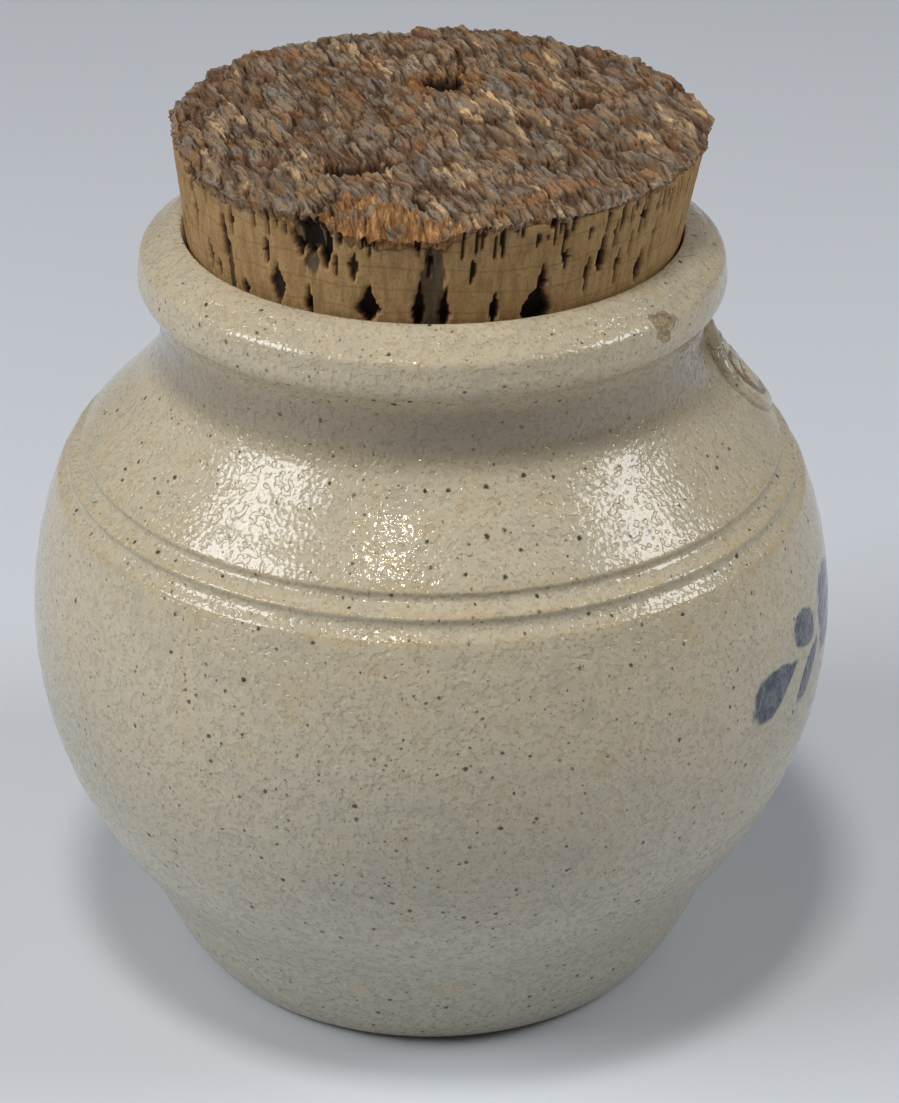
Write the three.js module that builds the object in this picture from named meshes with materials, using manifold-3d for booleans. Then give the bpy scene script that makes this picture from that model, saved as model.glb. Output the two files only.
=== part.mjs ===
// Stoneware crock, salt glazed and shut with a bark-topped cork stopper.
// Millimetres, +Z up, origin at the middle of the foot's underside.
// The plain side faces -Y, and the medallion and the brushed sprig face +X.

import * as THREE from 'three';
import { mergeVertices } from 'three/addons/utils/BufferGeometryUtils.js';
import Module from 'manifold-3d';

// Crock wall: the belly is part of a sphere, with a foot below and a shoulder above.
const BELLY_RADIUS = 62;
const BELLY_HEIGHT = 57.8;
const FOOT_RADIUS = 38.4;
const FOOT_SLOPE = 0.87;
const FOOT_EDGE = 1.2;
const WAIST_HEIGHT = 21;
const SHOULDER_HEIGHT = 81.8;
const NECK_HEIGHT = 104.1;
const NECK_RADIUS = 40.8;
const NECK_COVE = 3;

// Rolled rim: an oval section round the mouth that leans in towards the cork.
const RIM_RADIUS = 39.5;
const RIM_HEIGHT = 116.2;
const RIM_HALF_WIDTH = 3.2;
const RIM_HALF_LENGTH = 5.6;
const RIM_LEAN = THREE.MathUtils.degToRad(40);
const RIM_START = THREE.MathUtils.degToRad(-88);
const RIM_END = THREE.MathUtils.degToRad(65);
const RIM_FLARE = 2.2;

// Two turned grooves on the shoulder, each from its upper edge to its soft lower lip.
// A skew over 1 puts the deepest place below the groove's middle.
const GROOVES = [
  { top: 86.8, lip: 84.7, depth: 1, skew: 1.25 },
  { top: 84.3, lip: 81.6, depth: 0.75, skew: 0.8 },
];

// Applied clay medallion, bent to the shoulder.
const MEDALLION_AZIMUTH = THREE.MathUtils.degToRad(11);
const MEDALLION_HEIGHT = 95.3;
const MEDALLION_HALF_WIDTH = 11.5;
const MEDALLION_HALF_LENGTH = 10;
const MEDALLION_RISE = 0.74;
const MEDALLION_PROUD = 1.3;
const MEDALLION_DOME = 0.4;
const MEDALLION_SINK = 0.3;
const MEDALLION_TAPER = 0.35;
const MEDALLION_ROOT = 2.5;

// Small chip out of the rim.
const CHIP_AZIMUTH = THREE.MathUtils.degToRad(-41);
const CHIP_HEIGHT = 117.6;
const CHIP_RADIUS = 2.1;
const CHIP_REACH = 44.1;

// Cork stopper, tapered, with its plug in the mouth.
const CORK_BOTTOM = 103;
const CORK_TOP = 137.3;
const CORK_BOTTOM_RADIUS = 34;
const CORK_TOP_RADIUS = 39.2;
const CORK_TILT = 0.02;
const CORK_LEAN = 0.8;
const CORK_GAP = 0.3;

// Bark on the cork's top: raised and sunken flakes that run along one grain.
const BARK_GRAIN = THREE.MathUtils.degToRad(-72);
const BARK_FLAKES = 90;
const BARK_RELIEF = 0.9;
const BARK_EDGE = 1.1;

// The cork's largest lenticel voids: azimuth in degrees, then height, width and length.
const VOIDS = [
  [-104.3, 123.2, 4, 6.6],
  [-67.3, 123.4, 4.6, 7],
  [-90.5, 130.5, 2.4, 12],
  [-117, 132, 4.2, 7.5],
  [-126.1, 124.4, 2.6, 5],
  [-39.3, 125, 2.2, 5],
];
const VOID_DEPTH = 1.5;
const FAR_VOIDS = 12;

const ROUND_STEPS = 64;
const CORK_STEPS = 72;

const wasm = await Module();
wasm.setup();

// Draws that repeat on every build.
function seededDraws(seed) {
  let state = seed;
  return (low, high) => {
    state = (state * 1664525 + 1013904223) % 4294967296;
    return low + (high - low) * (state / 4294967296);
  };
}

// A cubic between two ends with their slopes.
function hermite(t, span, start, startSlope, end, endSlope) {
  const square = t * t;
  const cube = square * t;
  return (2 * cube - 3 * square + 1) * start
    + (cube - 2 * square + t) * span * startSlope
    + (3 * square - 2 * cube) * end
    + (cube - square) * span * endSlope;
}

function bellyRadius(z) {
  return Math.sqrt(BELLY_RADIUS ** 2 - (z - BELLY_HEIGHT) ** 2);
}

function bellySlope(z) {
  return (BELLY_HEIGHT - z) / bellyRadius(z);
}

// The outer wall's radius from the foot to the neck, without the grooves.
function wallRadius(z) {
  if (z < WAIST_HEIGHT) {
    const waist = bellyRadius(WAIST_HEIGHT);
    const slope = bellySlope(WAIST_HEIGHT);
    return hermite(z / WAIST_HEIGHT, WAIST_HEIGHT, FOOT_RADIUS, FOOT_SLOPE, waist, slope);
  }
  if (z > SHOULDER_HEIGHT) {
    const span = NECK_HEIGHT - SHOULDER_HEIGHT;
    const start = bellyRadius(SHOULDER_HEIGHT);
    const slope = bellySlope(SHOULDER_HEIGHT);
    return hermite((z - SHOULDER_HEIGHT) / span, span, start, slope, NECK_RADIUS, 0);
  }
  return bellyRadius(z);
}

function wallSlope(z) {
  const step = 0.05;
  return (wallRadius(z + step) - wallRadius(z - step)) / (2 * step);
}

function grooveDip(groove, fraction) {
  return groove.depth * Math.sin(Math.PI * fraction ** groove.skew);
}

function corkRadius(z) {
  const fraction = (z - CORK_BOTTOM) / (CORK_TOP - CORK_BOTTOM);
  return THREE.MathUtils.lerp(CORK_BOTTOM_RADIUS, CORK_TOP_RADIUS, fraction);
}

// The stopper leans towards +X as it rises out of the rim.
function corkLean(z) {
  return CORK_LEAN * THREE.MathUtils.smoothstep(z, RIM_HEIGHT, CORK_TOP);
}

function wallStretch(points, from, to, steps) {
  for (let step = 0; step < steps; step += 1) {
    const z = THREE.MathUtils.lerp(from, to, step / steps);
    points.push(new THREE.Vector2(wallRadius(z), z));
  }
}

function grooveStretch(points, groove) {
  for (const fraction of [1, 0.8, 0.6, 0.4, 0.2, 0]) {
    const z = THREE.MathUtils.lerp(groove.top, groove.lip, fraction);
    points.push(new THREE.Vector2(wallRadius(z) - grooveDip(groove, fraction), z));
  }
}

// A point on the rim's oval section, whose outer flat lies at angle 0.
function rimPoint(angle) {
  const across = RIM_HALF_WIDTH * Math.cos(angle);
  const along = RIM_HALF_LENGTH * Math.sin(angle);
  return new THREE.Vector2(
    RIM_RADIUS + across * Math.cos(RIM_LEAN) - along * Math.sin(RIM_LEAN),
    RIM_HEIGHT + across * Math.sin(RIM_LEAN) + along * Math.cos(RIM_LEAN),
  );
}

// The crock's outline, from the axis under the foot round to the axis at the plug's seat.
function crockOutline() {
  const points = [new THREE.Vector2(0, 0)];
  points.push(new THREE.Vector2(FOOT_RADIUS - FOOT_EDGE, 0));
  points.push(new THREE.Vector2(FOOT_RADIUS, FOOT_EDGE / 3));
  wallStretch(points, FOOT_EDGE, WAIST_HEIGHT, 6);
  const [upper, lower] = GROOVES;
  wallStretch(points, WAIST_HEIGHT, lower.lip, 11);
  grooveStretch(points, lower);
  grooveStretch(points, upper);
  wallStretch(points, upper.top + 1, NECK_HEIGHT, 6);

  const underside = rimPoint(RIM_START);
  const neck = new THREE.CubicBezierCurve(
    new THREE.Vector2(NECK_RADIUS, NECK_HEIGHT),
    new THREE.Vector2(NECK_RADIUS, NECK_HEIGHT + NECK_COVE),
    new THREE.Vector2(underside.x - RIM_FLARE, underside.y - RIM_FLARE),
    underside,
  );
  points.push(...neck.getPoints(5).slice(0, -1));

  const rimSteps = 10;
  for (let step = 0; step <= rimSteps; step += 1) {
    points.push(rimPoint(THREE.MathUtils.lerp(RIM_START, RIM_END, step / rimSteps)));
  }
  const seat = CORK_BOTTOM - CORK_GAP;
  points.push(new THREE.Vector2(corkRadius(seat) + CORK_GAP, seat));
  points.push(new THREE.Vector2(0, seat));
  return points;
}

function turned(points, steps) {
  return new THREE.LatheGeometry(points, steps).rotateX(Math.PI / 2);
}

// Moves every corner of a shape by a function of its place.
function reshape(geometry, move) {
  const position = geometry.getAttribute('position');
  const corner = new THREE.Vector3();
  for (let index = 0; index < position.count; index += 1) {
    corner.fromBufferAttribute(position, index);
    move(corner);
    position.setXYZ(index, corner.x, corner.y, corner.z);
  }
  return geometry;
}

// A closed solid from a three.js shape: shared corners merged, flat slivers at the poles dropped.
function solidFrom(shape) {
  let geometry = shape.clone();
  geometry.deleteAttribute('normal');
  geometry.deleteAttribute('uv');
  geometry = mergeVertices(geometry, 1e-3);
  const index = geometry.getIndex().array;
  const triangles = [];
  for (let start = 0; start < index.length; start += 3) {
    const [a, b, c] = index.slice(start, start + 3);
    if (a !== b && b !== c && c !== a) {
      triangles.push(a, b, c);
    }
  }
  return new wasm.Manifold(new wasm.Mesh({
    numProp: 3,
    vertProperties: Float32Array.from(geometry.getAttribute('position').array),
    triVerts: Uint32Array.from(triangles),
  }));
}

function shapeFrom(solid) {
  const mesh = solid.getMesh();
  const geometry = new THREE.BufferGeometry();
  geometry.setAttribute('position', new THREE.BufferAttribute(mesh.vertProperties, 3));
  geometry.setIndex(new THREE.BufferAttribute(mesh.triVerts, 1));
  geometry.computeVertexNormals();
  return geometry;
}

// A domed pad with a raised edge, laid along the shoulder, thicker at its top and rooted in the wall.
function medallionSolid() {
  const sunk = MEDALLION_PROUD - MEDALLION_SINK;
  const crown = MEDALLION_PROUD + MEDALLION_DOME;
  const pad = turned([
    new THREE.Vector2(0, -MEDALLION_ROOT),
    new THREE.Vector2(1, -MEDALLION_ROOT),
    new THREE.Vector2(1, MEDALLION_PROUD * 0.55),
    new THREE.Vector2(0.95, MEDALLION_PROUD),
    new THREE.Vector2(0.84, MEDALLION_PROUD),
    new THREE.Vector2(0.74, sunk),
    new THREE.Vector2(0.45, THREE.MathUtils.lerp(sunk, crown, 0.7)),
    new THREE.Vector2(0, crown),
  ], 32);
  return solidFrom(reshape(pad, (corner) => {
    const z = MEDALLION_HEIGHT + corner.y * MEDALLION_HALF_LENGTH * MEDALLION_RISE;
    const radius = wallRadius(z);
    const azimuth = MEDALLION_AZIMUTH + corner.x * MEDALLION_HALF_WIDTH / wallRadius(MEDALLION_HEIGHT);
    const normal = new THREE.Vector2(1, -wallSlope(z)).normalize();
    const proud = corner.z > 0 ? corner.z * (1 + MEDALLION_TAPER * corner.y) : corner.z;
    const reach = radius + proud * normal.x;
    const height = z + proud * normal.y;
    corner.set(reach * Math.cos(azimuth), reach * Math.sin(azimuth), height);
  }));
}

function chipSolid() {
  const nick = new THREE.IcosahedronGeometry(CHIP_RADIUS, 1);
  nick.translate(CHIP_REACH * Math.cos(CHIP_AZIMUTH), CHIP_REACH * Math.sin(CHIP_AZIMUTH), CHIP_HEIGHT);
  return solidFrom(nick);
}

function crockShape() {
  const body = solidFrom(turned(crockOutline(), ROUND_STEPS));
  return shapeFrom(body.add(medallionSolid()).subtract(chipSolid()));
}

// Flakes of bark: each is a long low hump or hollow that lies along the grain.
function barkFlakes() {
  const draw = seededDraws(41);
  const flakes = [];
  for (let count = 0; count < BARK_FLAKES; count += 1) {
    const reach = CORK_TOP_RADIUS * Math.sqrt(draw(0, 1));
    const azimuth = draw(0, 2 * Math.PI);
    const grain = BARK_GRAIN + draw(-0.25, 0.25);
    flakes.push({
      x: reach * Math.cos(azimuth),
      y: reach * Math.sin(azimuth),
      along: new THREE.Vector2(Math.cos(grain), Math.sin(grain)),
      length: draw(4, 9),
      width: draw(1.8, 3.4),
      lift: draw(-BARK_RELIEF, BARK_RELIEF),
    });
  }
  return flakes;
}

function barkLift(flakes, x, y) {
  let lift = 0;
  for (const flake of flakes) {
    const dx = x - flake.x;
    const dy = y - flake.y;
    const along = (dx * flake.along.x + dy * flake.along.y) / flake.length;
    const across = (dy * flake.along.x - dx * flake.along.y) / flake.width;
    lift += flake.lift * Math.exp(-along * along - across * across);
  }
  return lift;
}

// The bark's broken edge: how far it stands in or out at an azimuth.
function edgeBreak(azimuth) {
  return 0.45 * Math.sin(3 * azimuth + 0.8) + 0.3 * Math.sin(8 * azimuth + 2.1)
    + 0.3 * Math.sin(17 * azimuth + 0.4) + 0.2 * Math.sin(29 * azimuth + 1.3);
}

function corkOutline() {
  const points = [new THREE.Vector2(0, CORK_BOTTOM)];
  const sideSteps = 6;
  for (let step = 0; step <= sideSteps; step += 1) {
    const z = THREE.MathUtils.lerp(CORK_BOTTOM, CORK_TOP - BARK_EDGE, step / sideSteps);
    points.push(new THREE.Vector2(corkRadius(z), z));
  }
  const topSteps = 14;
  for (let step = 0; step <= topSteps; step += 1) {
    const radius = THREE.MathUtils.lerp(CORK_TOP_RADIUS - BARK_EDGE, 0, step / topSteps);
    points.push(new THREE.Vector2(radius, CORK_TOP));
  }
  return points;
}

// A spindle-shaped hollow that opens through the cork's side.
function voidSolid(azimuth, height, width, length) {
  const spindle = new THREE.OctahedronGeometry(1, 1);
  spindle.scale(VOID_DEPTH, width / 2, length / 2);
  spindle.translate(corkRadius(height), 0, 0);
  spindle.rotateZ(azimuth);
  spindle.translate(corkLean(height), 0, height);
  return solidFrom(spindle);
}

function corkShape() {
  const flakes = barkFlakes();
  const stopper = reshape(turned(corkOutline(), CORK_STEPS), (corner) => {
    const bark = THREE.MathUtils.smoothstep(corner.z, CORK_TOP - 3 * BARK_EDGE, CORK_TOP);
    const radius = Math.hypot(corner.x, corner.y);
    const azimuth = Math.atan2(corner.y, corner.x);
    const outer = THREE.MathUtils.smoothstep(radius, 0.75 * CORK_TOP_RADIUS, CORK_TOP_RADIUS);
    const grow = 1 + bark * outer * edgeBreak(azimuth) / CORK_TOP_RADIUS;
    corner.z += bark * (barkLift(flakes, corner.x, corner.y) + CORK_TILT * corner.y);
    corner.x *= grow;
    corner.y *= grow;
    corner.x += corkLean(corner.z);
  });
  let solid = solidFrom(stopper);
  for (const [azimuth, height, width, length] of VOIDS) {
    solid = solid.subtract(voidSolid(THREE.MathUtils.degToRad(azimuth), height, width, length));
  }
  const draw = seededDraws(7);
  for (let count = 0; count < FAR_VOIDS; count += 1) {
    const azimuth = THREE.MathUtils.degToRad(-15 + 220 * (count + draw(0.2, 0.8)) / FAR_VOIDS);
    solid = solid.subtract(voidSolid(azimuth, draw(122.5, 130), draw(2, 3.6), draw(5, 8)));
  }
  return shapeFrom(solid);
}

const crock = new THREE.Mesh(
  crockShape(),
  new THREE.MeshStandardMaterial({ color: 0xb5ab93, roughness: 0.35, metalness: 0 }),
);
crock.name = 'crock';

const cork = new THREE.Mesh(
  corkShape(),
  new THREE.MeshStandardMaterial({ color: 0x80664a, roughness: 0.9, metalness: 0 }),
);
cork.name = 'cork';

const stopperedCrock = new THREE.Group();
stopperedCrock.add(crock, cork);

export default stopperedCrock;
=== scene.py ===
"""Looks for a stoneware crock that is shut with a bark-topped cork stopper.

Sizes are in millimetres in the constants and in metres in the scene. +Z is up, the plain side
faces -Y, and the medallion and the brushed sprig face +X.
"""

import math
import random

import bmesh
import bpy
from bpy.props import FloatProperty, FloatVectorProperty, IntProperty, PointerProperty
from mathutils import Matrix, Vector, noise


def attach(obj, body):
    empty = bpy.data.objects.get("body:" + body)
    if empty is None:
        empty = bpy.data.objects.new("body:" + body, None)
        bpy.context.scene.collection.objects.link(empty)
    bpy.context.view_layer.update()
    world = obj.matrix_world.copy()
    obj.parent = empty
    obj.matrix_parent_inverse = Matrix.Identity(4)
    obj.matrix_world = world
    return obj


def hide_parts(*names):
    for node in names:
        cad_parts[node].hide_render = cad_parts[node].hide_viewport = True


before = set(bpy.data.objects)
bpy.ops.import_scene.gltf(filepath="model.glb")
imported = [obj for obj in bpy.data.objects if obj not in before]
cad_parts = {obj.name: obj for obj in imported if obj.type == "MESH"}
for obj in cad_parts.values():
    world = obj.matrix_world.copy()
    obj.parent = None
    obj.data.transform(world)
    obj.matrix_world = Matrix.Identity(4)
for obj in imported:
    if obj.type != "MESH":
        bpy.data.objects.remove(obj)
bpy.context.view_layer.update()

bl_info = {
    "name": "Stoneware crock with cork stopper",
    "version": (1, 0, 0),
    "blender": (4, 5, 0),
    "location": "3D View > Sidebar > Crock",
    "description": "Salt-glazed crock, clay medallion, cork stopper and a plain stage",
    "category": "Object",
}

MM = 0.001
BODY = "root"
SECTORS = 16

# The crock's wall, as in the solid, but for the rim's edge.
BELLY_RADIUS = 62.0
BELLY_HEIGHT = 57.8
FOOT_RADIUS = 38.4
FOOT_SLOPE = 0.87
FOOT_ROUND = 2.0
WAIST_HEIGHT = 21.0
SHOULDER_HEIGHT = 81.8
NECK_HEIGHT = 104.1
NECK_RADIUS = 40.8
NECK_COVE = 3.0
RIM_RADIUS = 39.5
RIM_HEIGHT = 116.2
RIM_HALF_WIDTH = 3.2
RIM_HALF_LENGTH = 5.6
RIM_LEAN = math.radians(40)
RIM_START = math.radians(-88)
RIM_END = math.radians(65)
RIM_FLARE = 2.2
# The edge where the rim's sloping top turns down: its angle, spread and height over the oval.
RIM_EDGE_ANGLE = math.radians(-14)
RIM_EDGE_SPREAD = math.radians(15)
RIM_EDGE = 0.62
# The wall's unevenness ends inside the mouth, between these radii above this height.
MOUTH_FADE = (38.0, 39.5)
MOUTH_FADE_HEIGHT = 100.0
# The height of the neck's painted shade: the glaze is painted darker round it, for the shade under the
# rim.
NECK_PAINTED_SHADE_HEIGHT = 105.0
# Iron flashing at the groove lips and the rim: height, half width, strength.
FLASH_BANDS = ((87.6, 0.9, 0.3), (84.6, 0.6, 0.4), (81.3, 1.0, 0.35), (118.6, 2.4, 0.1))
# Rings of faces under the foot and on the plug's seat.
FOOT_RINGS = (0.0, 12.0, 24.0, 33.0)
SEAT_RINGS = (17.0, 0.0)
# Grooves: upper edge, lower lip, share of the groove depth, and how low the deepest place is.
GROOVES = ((87.5, 84.6, 1.0, 1.05), (84.5, 81.4, 0.8, 0.9))
GROOVE_SOFTNESS = 1.5

# The medallion and the chip in the rim.
MEDALLION_AZIMUTH = math.radians(11)
MEDALLION_HEIGHT = 95.3
MEDALLION_HALF_WIDTH = 11.5
MEDALLION_HALF_LENGTH = 10.0
MEDALLION_RISE = 0.74
MEDALLION_PROUD = 1.3
MEDALLION_TAPER = 0.35
MEDALLION_STEPS = 208
PETALS = 8
CHIP_AZIMUTH = math.radians(-41)
CHIP_ANGLE = math.radians(-18)
CHIP_RADIUS = 2.2
# How far from the chip's middle the rim is cut into finer faces.
CHIP_REACH = 2.4 * CHIP_RADIUS

# The cork stopper.
CORK_BOTTOM = 103.0
CORK_TOP = 137.3
CORK_BOTTOM_RADIUS = 34.0
CORK_TOP_RADIUS = 39.2
CORK_TILT = 0.02
CORK_LEAN = 0.8
CORK_GAP = 0.3
# The heights of the hidden plug's rows, where the side starts to show, and both hidden floors.
PLUG_ROWS = (CORK_BOTTOM + 0.8, 107.0, 111.0, 114.0)
CORK_SHOWS = 115.5
BARK_FLOOR = CORK_TOP - 5.0
SIDE_FLOOR = CORK_TOP - 5.5
BARK_GRAIN = math.radians(-72)
BARK_CRISP = math.radians(26)
BARK_FACES_ALONG = 205
BARK_FACES_ACROSS = 455
# The azimuth in degrees where the bark's crust reaches lowest.
CRUST_THICK = -137.0

# Where the bark is torn away at the front edge, in degrees of azimuth.
TORN_START = -113.0
TORN_END = -84.5
TORN_DROP = 2.0
# How far in the tear starts, at its left end and its right end.
TORN_INNER = (29.0, 35.5)
BRIM_ROUND = 0.6

# Lenticels of the side that the photograph shows:
# azimuth in degrees, height, width, length, depth, and how far down its widest place is.
LENTICELS = (
    (-104.3, 124.0, 4.4, 8.4, 1.7, 0.68),
    (-117.2, 132.6, 5.7, 6.4, 1.8, 0.5),
    (-67.3, 121.4, 6.0, 8.4, 2.0, 0.50),
    (-66.8, 127.6, 1.9, 7.0, 1.2, 0.72),
    (-93.4, 124.0, 2.3, 11.0, 1.4, 0.62),
    (-87.8, 123.4, 2.0, 9.4, 1.4, 0.62),
    (-91.6, 130.4, 1.2, 6.0, 1.0, 0.40),
    (-119.6, 132.6, 3.2, 8.4, 1.8, 0.45),
    (-113.8, 131.8, 3.0, 9.6, 1.8, 0.45),
    (-126.0, 124.2, 3.4, 8.6, 0.8, 0.52),
    (-128.6, 129.4, 1.3, 7.4, 0.9, 0.62),
    (-118.0, 123.0, 1.5, 7.6, 1.3, 0.66),
    (-77.0, 123.0, 1.8, 6.6, 1.4, 0.50),
    (-82.5, 129.0, 1.1, 6.4, 0.8, 0.40),
    (-107.6, 129.2, 1.9, 6.4, 0.7, 0.50),
    (-111.4, 129.0, 0.9, 4.4, 0.6, 0.50),
    (-62.0, 129.4, 1.2, 4.6, 0.9, 0.45),
    (-52.6, 130.0, 2.2, 9.6, 1.3, 0.74),
    (-55.8, 126.0, 1.1, 8.0, 0.8, 0.40),
    (-47.3, 125.8, 1.2, 7.4, 0.9, 0.40),
    (-39.3, 124.6, 2.8, 7.0, 1.5, 0.58),
    (-41.8, 132.4, 1.5, 8.0, 1.3, 0.45),
    (-36.0, 128.0, 1.0, 7.8, 0.8, 0.40),
    (-44.5, 129.2, 0.8, 5.6, 0.7, 0.50),
    (-49.6, 131.4, 0.9, 6.4, 0.8, 0.45),
    (-20.0, 125.6, 1.4, 7.0, 1.1, 0.50),
    (-14.0, 131.6, 3.0, 6.0, 1.0, 0.50),
    (-142.0, 128.6, 1.8, 11.0, 1.3, 0.45),
    (-139.0, 131.6, 1.2, 6.0, 1.0, 0.50),
    (-154.5, 129.4, 1.6, 8.4, 1.2, 0.50),
    (-149.0, 124.0, 1.8, 6.4, 1.0, 0.50),
    (-145.5, 122.6, 1.4, 4.6, 0.8, 0.50),
    (-136.0, 121.4, 2.0, 4.0, 1.2, 0.50),
)
# Guessed lenticels of the far side: where they start and how far round they go in degrees, the
# limits of their height, width and length, their depth, and how far down the widest place is.
FAR_LENTICELS = 12
FAR_START = -15.0
FAR_SPAN = 220.0
FAR_LIMITS = ((122.5, 130.0), (2.0, 3.6), (5.0, 8.0))
FAR_DEPTH = 1.5
FAR_WIDEST = 0.55
# Small lenticels between them, with limits in the order of LENTICELS.
SMALL_LENTICELS = 64
SMALL_LIMITS = ((-12.0, 205.0), (119.5, 134.0), (0.6, 1.5), (2.6, 6.0), (0.5, 1.2), (0.35, 0.65))
# Slits that hang from the bark's edge: where they crowd and how far round that reaches in degrees,
# the limits of their height, length, width and depth, and how far down the widest place is.
EDGE_SLITS = 110
SLIT_CROWD = -50.0
SLIT_SPREAD = 46.0
SLIT_LIMITS = ((132.2, 135.2), (3.0, 7.5), (0.5, 0.85), (0.5, 0.9))
SLIT_WIDEST = 0.35

# Grey weathered strips on the side: azimuth, lowest and highest point, width.
ASH_STRIPS = (
    (-90.6, 114.0, 134.2, 6.2),
    (-117.0, 125.6, 131.0, 3.6),
    (-141.0, 114.0, 128.0, 2.8),
    (38.0, 124.0, 135.0, 3.0),
    (118.0, 114.0, 134.0, 3.8),
)

# Pits of the bark that the photograph shows: x, y, half length along the grain, half width, depth.
BARK_PITS = (
    (0.8, 14.8, 2.4, 3.4, 2.3),
    (-6.0, 15.0, 1.6, 2.2, 1.2),
    (22.0, 5.5, 1.5, 2.6, 1.6),
    (26.0, 3.6, 1.0, 1.8, 1.3),
    (-11.2, -18.8, 1.9, 5.4, 1.9),
    (-2.6, -32.0, 2.2, 0.9, 1.6),
    (26.0, -11.0, 1.8, 2.6, 1.2),
    (-24.0, -18.0, 1.4, 1.6, 1.3),
    (6.0, 27.0, 1.6, 2.6, 1.1),
)

# Brushed cobalt strokes: azimuth in degrees, height, turn in degrees, half length, half width, taper.
SPRIG_MIDDLE = 10.0
SIDE_LEAVES = (
    (-24.6, 66.6, -20.0, 4.8, 3.1, 0.05),
    (-23.6, 58.9, 40.0, 5.6, 2.2, 0.25),
    (-34.4, 61.6, 12.0, 6.8, 3.5, 0.6),
    (-11.0, 64.0, 0.0, 8.0, 6.8, 0.35),
)
PETAL_TURNS = (180, 112, 248)
PETAL_REACH = 9.0
PETAL_HALF_LENGTH = 5.4
PETAL_HALF_WIDTH = 4.4
FLOWER_HEIGHT = 63.5
STEM_STROKES = (
    (10.0, 45.0, 90.0, 8.5, 0.9, 0.1),
    (3.6, 41.0, 128.0, 5.0, 2.2, 0.5),
)

# The camera, from a fit of the crock's turned outlines to the photograph.
IMAGE_HEIGHT = 1103
FOCAL_PIXELS = 3200.0
SENSOR = 36.0
CAMERA_PLACE = (0.0, -441.27, 301.41)
CAMERA_PITCH = math.radians(28.130)
CAMERA_YAW = math.radians(0.365)
CAMERA_ROLL = math.radians(0.432)

# Lights: azimuth and elevation in degrees, distance and size in metres.
LEFT_WINDOW = (-160, 38, 1.2, (0.62, 0.46))
RIGHT_WINDOW = (-6, 37, 1.2, (0.46, 0.46))
LAMP = (-108, 60, 1.3, (0.065, 0.065))
CEILING = (-108, 73, 1.4, (0.22, 0.22))
# Each window's share of the window power.
LEFT_SHARE = 1.5
RIGHT_SHARE = 0.95
DAYLIGHT = (0.94, 0.97, 1.0)
LAMPLIGHT = (1.0, 0.87, 0.68)
CEILING_LIGHT = (1.0, 0.98, 0.95)
SURROUND_LIGHT = (0.92, 0.95, 1.0, 1.0)
LIGHT_AIM = 85.0
FLOOR_HALF_SIZE = 4.0
FLOOR_GAP = 0.05


def srgb(red, green, blue):
    """A colour as the eye reads it, 0 to 255, as linear light with full alpha."""
    def linear(level):
        share = level / 255
        return share / 12.92 if share < 0.04045 else ((share + 0.055) / 1.055) ** 2.4
    return (linear(red), linear(green), linear(blue), 1.0)


def lerp(start, end, share):
    return start + (end - start) * share


def smoothstep(value, low, high):
    share = min(max((value - low) / (high - low), 0.0), 1.0)
    return share * share * (3 - 2 * share)


def noise_at(x, y, z):
    return noise.noise(Vector((x, y, z)))


def spoke_at(azimuth):
    """The outward direction at an azimuth."""
    return Vector((math.cos(azimuth), math.sin(azimuth), 0.0))


def on_cork(radius, azimuth, z, lean):
    """A place on the cork in metres, from its leaning axis."""
    return Vector((radius * math.cos(azimuth) + lean, radius * math.sin(azimuth), z)) * MM


def turn_between(azimuth, middle):
    """Signed turn in degrees from the middle to an azimuth, at most half a turn."""
    return (azimuth - middle + 180.0) % 360.0 - 180.0


# Properties


def length_property(name, description, default):
    return FloatProperty(name=name, description=description, default=default * MM,
                         min=0.0, precision=5, unit="LENGTH")


def colour_property(name, description, default):
    return FloatVectorProperty(name=name, description=description, default=default,
                               size=4, min=0.0, max=1.0, subtype="COLOR")


class CrockLooks(bpy.types.PropertyGroup):
    """Sizes and colours of the glazed crock and its medallion."""

    steps: IntProperty(
        name="Steps", description="Faces round the crock", default=336, min=64, max=360)
    groove_depth: length_property(
        "Groove depth", "Depth of the upper of the two turned grooves", 1.1)
    unevenness: length_property(
        "Unevenness", "How far the thrown wall strays from a true round", 0.22)
    ripple: length_property(
        "Ripple", "Height of the throwing rings", 0.035)
    lumps: length_property(
        "Lumps", "Height of the broad lumps in the glaze", 0.045)
    peel: length_property(
        "Orange peel", "Depth of the glaze's dimples", 0.13)
    chip_depth: length_property(
        "Chip depth", "Depth of the chip in the rim", 0.55)
    relief: length_property(
        "Medallion relief", "Height of the worn rosette on the medallion", 0.42)
    warm: colour_property(
        "Warm glaze", "Glaze on the shoulder and rim", srgb(184, 170, 142))
    # The belly's glaze is cooler and darker than the shoulder's: partly its own tone, partly painted shade
    # for the weaker, cooler light low on the pot.
    cool: colour_property(
        "Cool glaze", "Glaze low on the belly", srgb(168, 163, 144))
    flash: colour_property(
        "Flashing", "Iron flash where the glaze is thin", srgb(188, 158, 104))
    speck: colour_property(
        "Specks", "Iron specks in the glaze", srgb(62, 44, 30))
    cobalt: colour_property(
        "Cobalt", "Brushed blue strokes", srgb(40, 48, 66))
    clay: colour_property(
        "Bare clay", "Clay of the chip and the foot", srgb(178, 160, 128))
    wash: colour_property(
        "Brown wash", "Iron wash in the medallion's hollows", srgb(112, 80, 52))


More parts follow.
